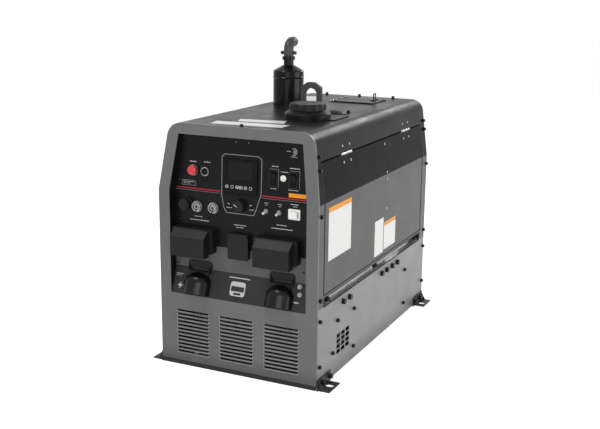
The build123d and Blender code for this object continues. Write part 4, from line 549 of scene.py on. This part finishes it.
# shield-shaped line round the display and knob
shield = [(-0.068, 0.683), (-0.0675, 0.565), (-0.060, 0.528), (-0.052, 0.512), (0.043, 0.512)]
shield += [(0.050, 0.527), (0.063, 0.565), (0.068, 0.575), (0.068, 0.683), (0.058, 0.692)]
shield += [(-0.058, 0.692)]
lines("shield_line", [rounded(shield, 0.006, 3)], 0.0018, on_panel, silver_ink, closed=True)
stripes = [[(-0.228, 0.576), (-0.150, 0.576), (-0.073, 0.576)]]
stripes += [[(0.073, 0.576), (0.150, 0.576), (0.216, 0.576)]]
lines("red_stripes", stripes, 0.0034, on_panel, red_ink)
# a pale line along the panel's fold is a painted highlight of the bend
fold = [[(-0.231, 0.5695), (-0.071, 0.5695)], [(0.071, 0.5695), (0.229, 0.5695)]]
lines("fold_glint", fold, 0.0016, on_panel, fold_highlight_paint)
film("amber_strip", [oblong(0.160, 0.217, 0.581, 0.5935, 0.0008)], on_panel, amber_ink)
box = [oblong(-0.209, -0.160, 0.585, 0.600, 0.001)]
lines("small_outline", box, 0.0009, on_panel, silver_ink, closed=True)
open_rings = [arc(0.173, 0.716, 0.0098, -125, 125), arc(0.173, 0.716, 0.0055, -100, 100)]
lines("ring_mark", open_rings, 0.0014, on_panel, pale_ink)
film("ring_centre", [arc(0.173, 0.716, 0.0022, n=16)], on_panel, pale_ink)
brackets = []
for x, top in ((0.0935, 0.6605), (0.1625, 0.6595)):
    brackets.append([(x, top), (x + 0.031, top), (x + 0.031, 0.607)])
lines("switch_brackets", brackets, 0.0010, on_panel, silver_ink)
ticks = [[(-0.047, 0.5415), (-0.040, 0.539)], [(0.029, 0.541), (0.036, 0.5435)]]
lines("dial_marks", ticks, 0.0018, on_panel, pale_ink)

# captions as plain broken bars: left, right and height in metres, thickness in mm
CAPTIONS = (
    (-0.182, -0.158, 0.6595, 2.6), (-0.131, -0.108, 0.661, 2.2), (-0.204, -0.166, 0.5955, 1.6),
    (-0.204, -0.178, 0.5905, 1.2), (-0.165, -0.138, 0.4885, 2.2), (-0.182, -0.113, 0.4770, 2.6),
    (-0.051, -0.032, 0.5285, 1.8), (0.028, 0.043, 0.5285, 1.8), (-0.025, 0.017, 0.4765, 2.2),
    (-0.017, 0.010, 0.4695, 2.0), (0.080, 0.093, 0.5555, 1.8), (0.082, 0.092, 0.5495, 1.6),
    (0.125, 0.138, 0.5555, 1.8), (0.127, 0.137, 0.5495, 1.6), (0.121, 0.154, 0.4930, 2.2),
    (0.104, 0.175, 0.4815, 2.6), (0.102, 0.124, 0.6685, 2.2), (0.132, 0.156, 0.6540, 2.0),
    (0.161, 0.194, 0.6670, 2.4), (0.099, 0.119, 0.6015, 1.8), (0.158, 0.192, 0.6025, 1.8),
    (0.167, 0.194, 0.5605, 2.2), (0.175, 0.190, 0.5540, 1.6), (0.149, 0.162, 0.7165, 1.8),
    (0.163, 0.184, 0.7010, 1.4), (-0.039, 0.033, 0.3095, 3.2), (-0.229, -0.203, 0.2975, 1.8),
    (-0.228, -0.208, 0.2925, 1.6),
)
DASHES = (0.0034, 0.0046, 0.0028, 0.0052, 0.0038, 0.0030)
DASH_GAP = 0.0012
SHORTEST_DASH = 0.0015
bars = []
for k, (left, right, z, thick) in enumerate(CAPTIONS):
    x = left
    i = k
    while x < right - SHORTEST_DASH:
        end = min(right, x + DASHES[i % len(DASHES)])
        half = thick / 2000.0
        bars.append(oblong(x, end, z - half, z + half))
        x = end + DASH_GAP
        i += 1
film("caption_bars", bars, on_panel, pale_ink)

sign = [oblong(-0.216, -0.200, 0.2622, 0.2658), oblong(-0.2098, -0.2062, 0.2560, 0.2722)]
film("plus_sign", sign[:1], on_panel, pale_ink)
film("plus_sign_upright", sign[1:], on_panel, pale_ink, high=0.00034)
film("minus_sign", [oblong(0.1905, 0.2055, 0.2642, 0.2676)], on_panel, pale_ink)
film("badge_plate", [oblong(-0.030, 0.022, 0.257, 0.2985, 0.009)], on_panel, label_grey)
bands = [oblong(-0.0265, 0.0185, 0.2705, 0.285, 0.002)]
bands += [oblong(-0.017, 0.009, 0.2605, 0.2665, 0.002)]
film("badge_bands", bands, on_panel, dark_ink, high=0.0005)

# screen glass and the printed touch keys along its foot
pane = [oblong(-0.0445, 0.0395, 0.6165, 0.6730, 0.002)]
film("screen_glass", pane, on_panel, screen_glass, high=0.0050, low=0.0040)
KEY_H = 0.00715
keys = []
for x, w in ((-0.046, 0.009), (-0.028, 0.009), (-0.004, 0.024), (0.018, 0.009), (0.035, 0.009)):
    keys.append(oblong(x - w / 2, x + w / 2, 0.5905, 0.5990, 0.0038))
lines("touch_key_rings", keys, 0.0012, on_panel, pale_ink, closed=True, high=KEY_H)
marks = [[(a, 0.5948), (b, 0.5948)] for a, b in ((-0.013, 0.005), (-0.048, -0.044), (0.016, 0.020))]
lines("touch_key_marks", marks, 0.0030, on_panel, pale_ink, high=KEY_H)


# connectors: dark middle, key slot below it and a notch in the rim
def key_slots(top, foot):
    return [oblong(x - KEY_SLOT_HALF, x + KEY_SLOT_HALF, z - foot, z - top) for x, z in CONNECTORS]


faces = [arc(x, z, 0.0046) for x, z in CONNECTORS] + key_slots(0.0040, 0.0088)
film("connector_faces", faces, on_panel, dark_ink,
     high=CONNECTOR_FACE_H + 0.0002, low=CONNECTOR_FACE_H - 0.0002)
notches = key_slots(0.0117, 0.0148)
film("connector_notches", notches, on_panel, dark_ink,
     high=CONNECTOR_RIM_H + 0.0002, low=CONNECTOR_RIM_H - 0.0002)


def on_knob(x, z, h):
    return Vector((x, KNOB_FACE_Y - h, z))


lines("knob_pointer", [[(-0.0155, 0.5435), (-0.0040, 0.5375)]], 0.0020, on_knob, pale_ink, "knob")

# blank labels on the right-hand door
for name, edges, ink in (
    ("door_label_large", (-0.421, -0.246, 0.388, 0.537, 0.002), label_white),
    ("door_label_large_head", (-0.421, -0.246, 0.5374, 0.552, 0.002), amber_ink),
    ("door_label_upright", (-0.036, 0.045, 0.303, 0.425, 0.003), label_white),
    ("door_label_small", (0.051, 0.165, 0.309, 0.393, 0.002), label_white),
    ("door_label_small_head", (0.051, 0.165, 0.3934, 0.406, 0.002), amber_ink),
):
    film(name, [oblong(*edges)], on_side, ink, "door_right")
# black seal rubber, also used as painted shade in the door and slot gaps
seal_and_gap_shade = rubber("seal rubber and gap shade", BLACK)


def on_left(y, z, h):
    p = on_side(y, z, h)
    return Vector((-p.x, p.y, p.z))


# black rubber seals round the doors and down the posts, and a dark trim round each long slot, drawn
# wider than a seal so that they also paint the shade in the gaps beside them
front_end, rear_end = DOOR_ENDS
heights = (DOOR_TOP_Z, BELT_Z, DOOR_FOOT_Z)
seal_shade_path = [(front_end, z) for z in heights] + [(rear_end, z) for z in heights[::-1]]
slot_shade_path = [(-0.4490, 0.2810), (-0.4490, 0.2530), (0.4400, 0.2530), (0.4400, 0.2810)]
for name, place in (("door_seal_and_shade_right", on_side), ("door_seal_and_shade_left", on_left)):
    bm = bmesh.new()
    line_into(bm, seal_shade_path, 0.0044, place, False, 0.0005, -0.0021)
    for y in POST_EDGES:
        edge = [(y, z) for z in (DOOR_TOP_Z, BELT_Z, POST_EDGE_FOOT_Z)]
        line_into(bm, edge, 0.0030, place, False, 0.0004, -0.0016)
    line_into(bm, slot_shade_path, 0.0026, place, True, 0.0006, -0.0016)
    finish_piece(name, bm, seal_and_gap_shade, "case")

# blank strips on the roof
strips = [[(-0.086, -0.3056), (0.0627, -0.2806), (0.0814, -0.3365), (-0.069, -0.3555)]]
strips += [[(-0.131, -0.377), (0.112, -0.358), (0.112, -0.416), (-0.119, -0.437)]]
strips += [[(-0.1795, 0.3776), (-0.1425, 0.3906), (-0.0618, 0.2137), (-0.0939, 0.1949)]]
film("roof_strips", strips, on_roof, label_white)


# ------------------------------------------- repeated pieces, grown from nodes
class Grower:
    # one geometry tree under construction, with named inputs for its sizes
    def __init__(self, name):
        self.tree = bpy.data.node_groups.new(name, "GeometryNodeTree")
        face = self.tree.interface
        face.new_socket("Geometry", in_out="INPUT", socket_type="NodeSocketGeometry")
        face.new_socket("Geometry", in_out="OUTPUT", socket_type="NodeSocketGeometry")
        self.sizes = {}
        self.inlet = None

    def size(self, label, kind="NodeSocketFloat"):
        item = self.tree.interface.new_socket(label, in_out="INPUT", socket_type=kind)
        self.sizes[label] = item.identifier
        return label

    def begin(self):
        self.inlet = self.tree.nodes.new("NodeGroupInput")
        return self.inlet

    def add(self, kind, links=None, values=None, **props):
        n = self.tree.nodes.new(kind)
        for k, v in props.items():
            setattr(n, k, v)
        for k, v in (values or {}).items():
            n.inputs[k].default_value = v
        for k, v in (links or {}).items():
            self.tree.links.new(v, n.inputs[k])
        return n

    def times(self, a, b):
        n = self.add("ShaderNodeMath", operation="MULTIPLY")
        self.tree.links.new(a, n.inputs[0])
        if isinstance(b, bpy.types.NodeSocket):
            self.tree.links.new(b, n.inputs[1])
        else:
            n.inputs[1].default_value = b
        return n.outputs[0]

    def upward(self, shape, height):
        lift = self.add("ShaderNodeCombineXYZ", {2: height})
        links = {"Geometry": shape, "Translation": lift.outputs[0]}
        return self.add("GeometryNodeTransform", links).outputs[0]

    def on_seats(self, head, mat):
        # one copy of head on each seat, turned to face along the seat's own axis
        facing = self.add("GeometryNodeInputNamedAttribute", values={"Name": "facing"},
                          data_type="FLOAT_VECTOR")
        turn = self.add("FunctionNodeAlignRotationToVector", {"Vector": facing.outputs[0]},
                        axis="Z")
        links = {"Points": self.inlet.outputs[0], "Instance": head, "Rotation": turn.outputs[0]}
        put = self.add("GeometryNodeInstanceOnPoints", links)
        real = self.add("GeometryNodeRealizeInstances", {0: put.outputs[0]})
        coat = self.add("GeometryNodeSetMaterial", {0: real.outputs[0]}, {"Material": mat})
        out = self.tree.nodes.new("NodeGroupOutput")
        self.tree.links.new(coat.outputs[0], out.inputs[0])

    def grow(self, name, seats, body, **sizes):
        mesh = bpy.data.meshes.new(name)
        mesh.from_pydata([tuple(p) for p, n in seats], [], [])
        way = mesh.attributes.new("facing", "FLOAT_VECTOR", "POINT")
        way.data.foreach_set("vector", [c for p, n in seats for c in n])
        obj = bpy.data.objects.new(name, mesh)
        scene.collection.objects.link(obj)
        mod = obj.modifiers.new("grow", "NODES")
        mod.node_group = self.tree
        for label, value in sizes.items():
            mod[self.sizes[label.replace("_", " ")]] = value
        ready = obj.evaluated_get(bpy.context.evaluated_depsgraph_get())
        solid = bpy.data.meshes.new_from_object(ready)
        solid.name = name
        obj.modifiers.clear()
        obj.data = solid
        bpy.data.meshes.remove(mesh)
        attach(obj, body)


def pan_head_screws(mat):
    # low domed head with a cross recess; the dome starts just inside the rim
    g = Grower("pan head screws")
    radius = g.size("Head radius")
    height = g.size("Head height")
    s = g.begin()
    r = s.outputs[radius]
    h = s.outputs[height]
    rounds = {"Vertices": 20}
    rim = g.add("GeometryNodeMeshCylinder", {"Radius": r, "Depth": g.times(h, 0.5)}, rounds)
    taper = {"Radius Top": g.times(r, 0.62), "Radius Bottom": r, "Depth": g.times(h, 0.5)}
    dome = g.add("GeometryNodeMeshCone", taper, rounds)
    head = g.add("GeometryNodeMeshBoolean", operation="UNION")
    g.tree.links.new(g.upward(rim.outputs[0], g.times(h, 0.25)), head.inputs["Mesh 2"])
    g.tree.links.new(g.upward(dome.outputs[0], g.times(h, 0.499)), head.inputs["Mesh 2"])
    cut = g.add("GeometryNodeMeshBoolean", operation="DIFFERENCE")
    g.tree.links.new(head.outputs[0], cut.inputs["Mesh 1"])
    for along, across in ((0.95, 0.22), (0.22, 0.95)):
        bar = g.add("ShaderNodeCombineXYZ", {0: g.times(r, along), 1: g.times(r, across), 2: h})
        tool = g.add("GeometryNodeMeshCube", {"Size": bar.outputs[0]})
        g.tree.links.new(g.upward(tool.outputs[0], g.times(h, 1.1)), cut.inputs["Mesh 2"])
    g.on_seats(cut.outputs[0], mat)
    return g


def contact_rings(mat):
    # a ring of small round contacts
    g = Grower("contact rings")
    ring = g.size("Ring radius")
    pin = g.size("Pin radius")
    count = g.size("Pin count", "NodeSocketInt")
    s = g.begin()
    circle = {"Vertices": s.outputs[count], "Radius": s.outputs[ring]}
    seats = g.add("GeometryNodeMeshCircle", circle)
    one = g.add("GeometryNodeMeshCylinder", {"Radius": s.outputs[pin]},
                {"Vertices": 10, "Depth": 0.0006})
    links = {"Points": seats.outputs[0], "Instance": one.outputs[0]}
    put = g.add("GeometryNodeInstanceOnPoints", links)
    flat = g.add("GeometryNodeRealizeInstances", {0: put.outputs[0]})
    g.on_seats(flat.outputs[0], mat)
    return g


def seat_on(place, u, v, h=0.0):
    p = place(u, v, h)
    return p, (place(u, v, h + 0.001) - p).normalized()


def louvre_edges(mat):
    # the drawn ends of one slot: a low upright web at each end
    g = Grower("louvre edges")
    length = g.size("Slot length")
    tall = g.size("Slot height")
    proud = g.size("Edge height")
    s = g.begin()
    long, high, out = (s.outputs[label] for label in (length, tall, proud))
    web = g.add("ShaderNodeCombineXYZ", {0: g.times(out, 0.62), 1: high, 2: out})
    both = g.add("GeometryNodeJoinGeometry")
    for side in (-0.5, 0.5):
        shape = g.add("GeometryNodeMeshCube", {"Size": web.outputs[0]})
        lift = g.add("ShaderNodeCombineXYZ", {0: g.times(long, side), 2: g.times(out, 0.5)})
        links = {"Geometry": shape.outputs[0], "Translation": lift.outputs[0]}
        put = g.add("GeometryNodeTransform", links)
        g.tree.links.new(put.outputs[0], both.inputs[0])
    g.on_seats(both.outputs[0], mat)
    return g


# the end webs are coated pale as a painted highlight
louvre_maker = louvre_edges(end_highlight_paint)
rows = [LOUVRE_Z0 + LOUVRE_PITCH * i for i in range(LOUVRE_ROWS)]
outward = Vector((0, -1, 0))
for side, (left, right) in zip(("left", "middle", "right"), LOUVRE_COLUMNS):
    seats = [(Vector(((left + right) / 2, SHEET_Y, z)), outward) for z in rows]
    louvre_maker.grow("louvre_ends_" + side, seats, "case", Slot_length=right - left,
                      Slot_height=0.0062, Edge_height=0.0020)

screw_maker = pan_head_screws(black_zinc)
panel_at = [(-0.221, 0.600), (-0.204, 0.735), (0.204, 0.735), (0.222, 0.600), (-0.222, 0.472)]
panel_at += [(0.222, 0.472)]
panel_seats = [seat_on(on_panel, x, z) for x, z in panel_at]
screw_maker.grow("panel_screws", panel_seats, "case", Head_radius=0.0042, Head_height=0.0024)
output_at = [(-0.005, 0.2445), (0.212, 0.356), (-0.212, 0.356), (-0.228, 0.330), (0.228, 0.330)]
output_seats = [seat_on(on_panel, x, z) for x, z in output_at]
screw_maker.grow("output_screws", output_seats, "case", Head_radius=0.0036, Head_height=0.0020)
upright = Vector((0, 0, 1))
plug_seats = [(Vector((x, y, PAN_TOP)), upright) for x in (-0.2, 0.2) for y in (-0.4, 0.4)]
plug_maker = pan_head_screws(mount_rubber)
plug_maker.grow("drain_plugs", plug_seats, "case", Head_radius=0.0135, Head_height=0.0030)
pins = [seat_on(on_panel, x, z, CONNECTOR_FACE_H) for x, z in CONNECTORS]
pin_maker = contact_rings(zinc)
pin_maker.grow("outer_contacts", pins, "case", Ring_radius=0.0067, Pin_radius=0.0007, Pin_count=9)


# --------------------------------------------------------------- the studio
def white_when_seen(tree, soft, seen):
    # the second shader shows where the camera, glossy or clear surfaces look
    path = tree.nodes.new("ShaderNodeLightPath")
    rays = path.outputs["Is Camera Ray"]
    for label in ("Is Glossy Ray", "Is Transmission Ray"):
        n = tree.nodes.new("ShaderNodeMath")
        n.operation = "MAXIMUM"
        tree.links.new(rays, n.inputs[0])
        tree.links.new(path.outputs[label], n.inputs[1])
        rays = n.outputs[0]
    pick = tree.nodes.new("ShaderNodeMixShader")
    tree.links.new(rays, pick.inputs[0])
    tree.links.new(soft.outputs[0], pick.inputs[1])
    tree.links.new(seen.outputs[0], pick.inputs[2])
    return pick


def white_room(level):
    world = bpy.data.worlds.new("studio")
    scene.world = world
    world.use_nodes = True
    t = world.node_tree
    t.nodes.clear()
    out = t.nodes.new("ShaderNodeOutputWorld")
    pair = []
    for strength in (level, 1.0):
        n = t.nodes.new("ShaderNodeBackground")
        n.inputs[0].default_value = (1.0, 1.0, 1.0, 1.0)
        n.inputs[1].default_value = strength
        pair.append(n)
    t.links.new(white_when_seen(t, *pair).outputs[0], out.inputs[0])


FLOOR_HALF = 25.0


def pale_floor(glow):
    mesh = bpy.data.meshes.new("floor")
    bm = bmesh.new()
    bmesh.ops.create_grid(bm, x_segments=1, y_segments=1, size=FLOOR_HALF)
    bm.to_mesh(mesh)
    bm.free()
    floor = bpy.data.objects.new("floor", mesh)
    scene.collection.objects.link(floor)
    mat = bpy.data.materials.new("floor white")
    mat.use_nodes = True
    t = mat.node_tree
    t.nodes.clear()
    out = t.nodes.new("ShaderNodeOutputMaterial")
    matt = t.nodes.new("ShaderNodeBsdfDiffuse")
    matt.inputs[0].default_value = (0.80, 0.80, 0.80, 1.0)
    pair = []
    for strength in (0.0, glow):
        n = t.nodes.new("ShaderNodeEmission")
        n.inputs[1].default_value = strength
        pair.append(n)
    add = t.nodes.new("ShaderNodeAddShader")
    t.links.new(matt.outputs[0], add.inputs[0])
    t.links.new(white_when_seen(t, *pair).outputs[0], add.inputs[1])
    t.links.new(add.outputs[0], out.inputs[0])
    mesh.materials.append(mat)


def lamp(name, at, aim, size, watts):
    data = bpy.data.lights.new(name, "AREA")
    data.shape = "RECTANGLE"
    data.size, data.size_y = size
    data.energy = watts
    obj = bpy.data.objects.new(name, data)
    obj.location = at
    obj.rotation_euler = (Vector(aim) - Vector(at)).to_track_quat("-Z", "Y").to_euler()
    scene.collection.objects.link(obj)


white_room(level=0.42)
pale_floor(glow=0.66)
lamp("high key", (-0.9, -1.5, 3.6), (0, 0, 0.5), (1.6, 0.6), 44.0)
lamp("right wall", (3.4, 0.3, 0.7), (0, 0, 0.25), (2.6, 1.0), 46.0)
lamp("front fill", (1.2, -4.0, 1.3), (0, 0, 0.4), (2.4, 1.6), 58.0)
lamp("strip behind", (0.9, 3.4, 2.4), (0, 0, 0.7), (2.2, 0.26), 44.0)
scene.view_settings.view_transform = "Standard"
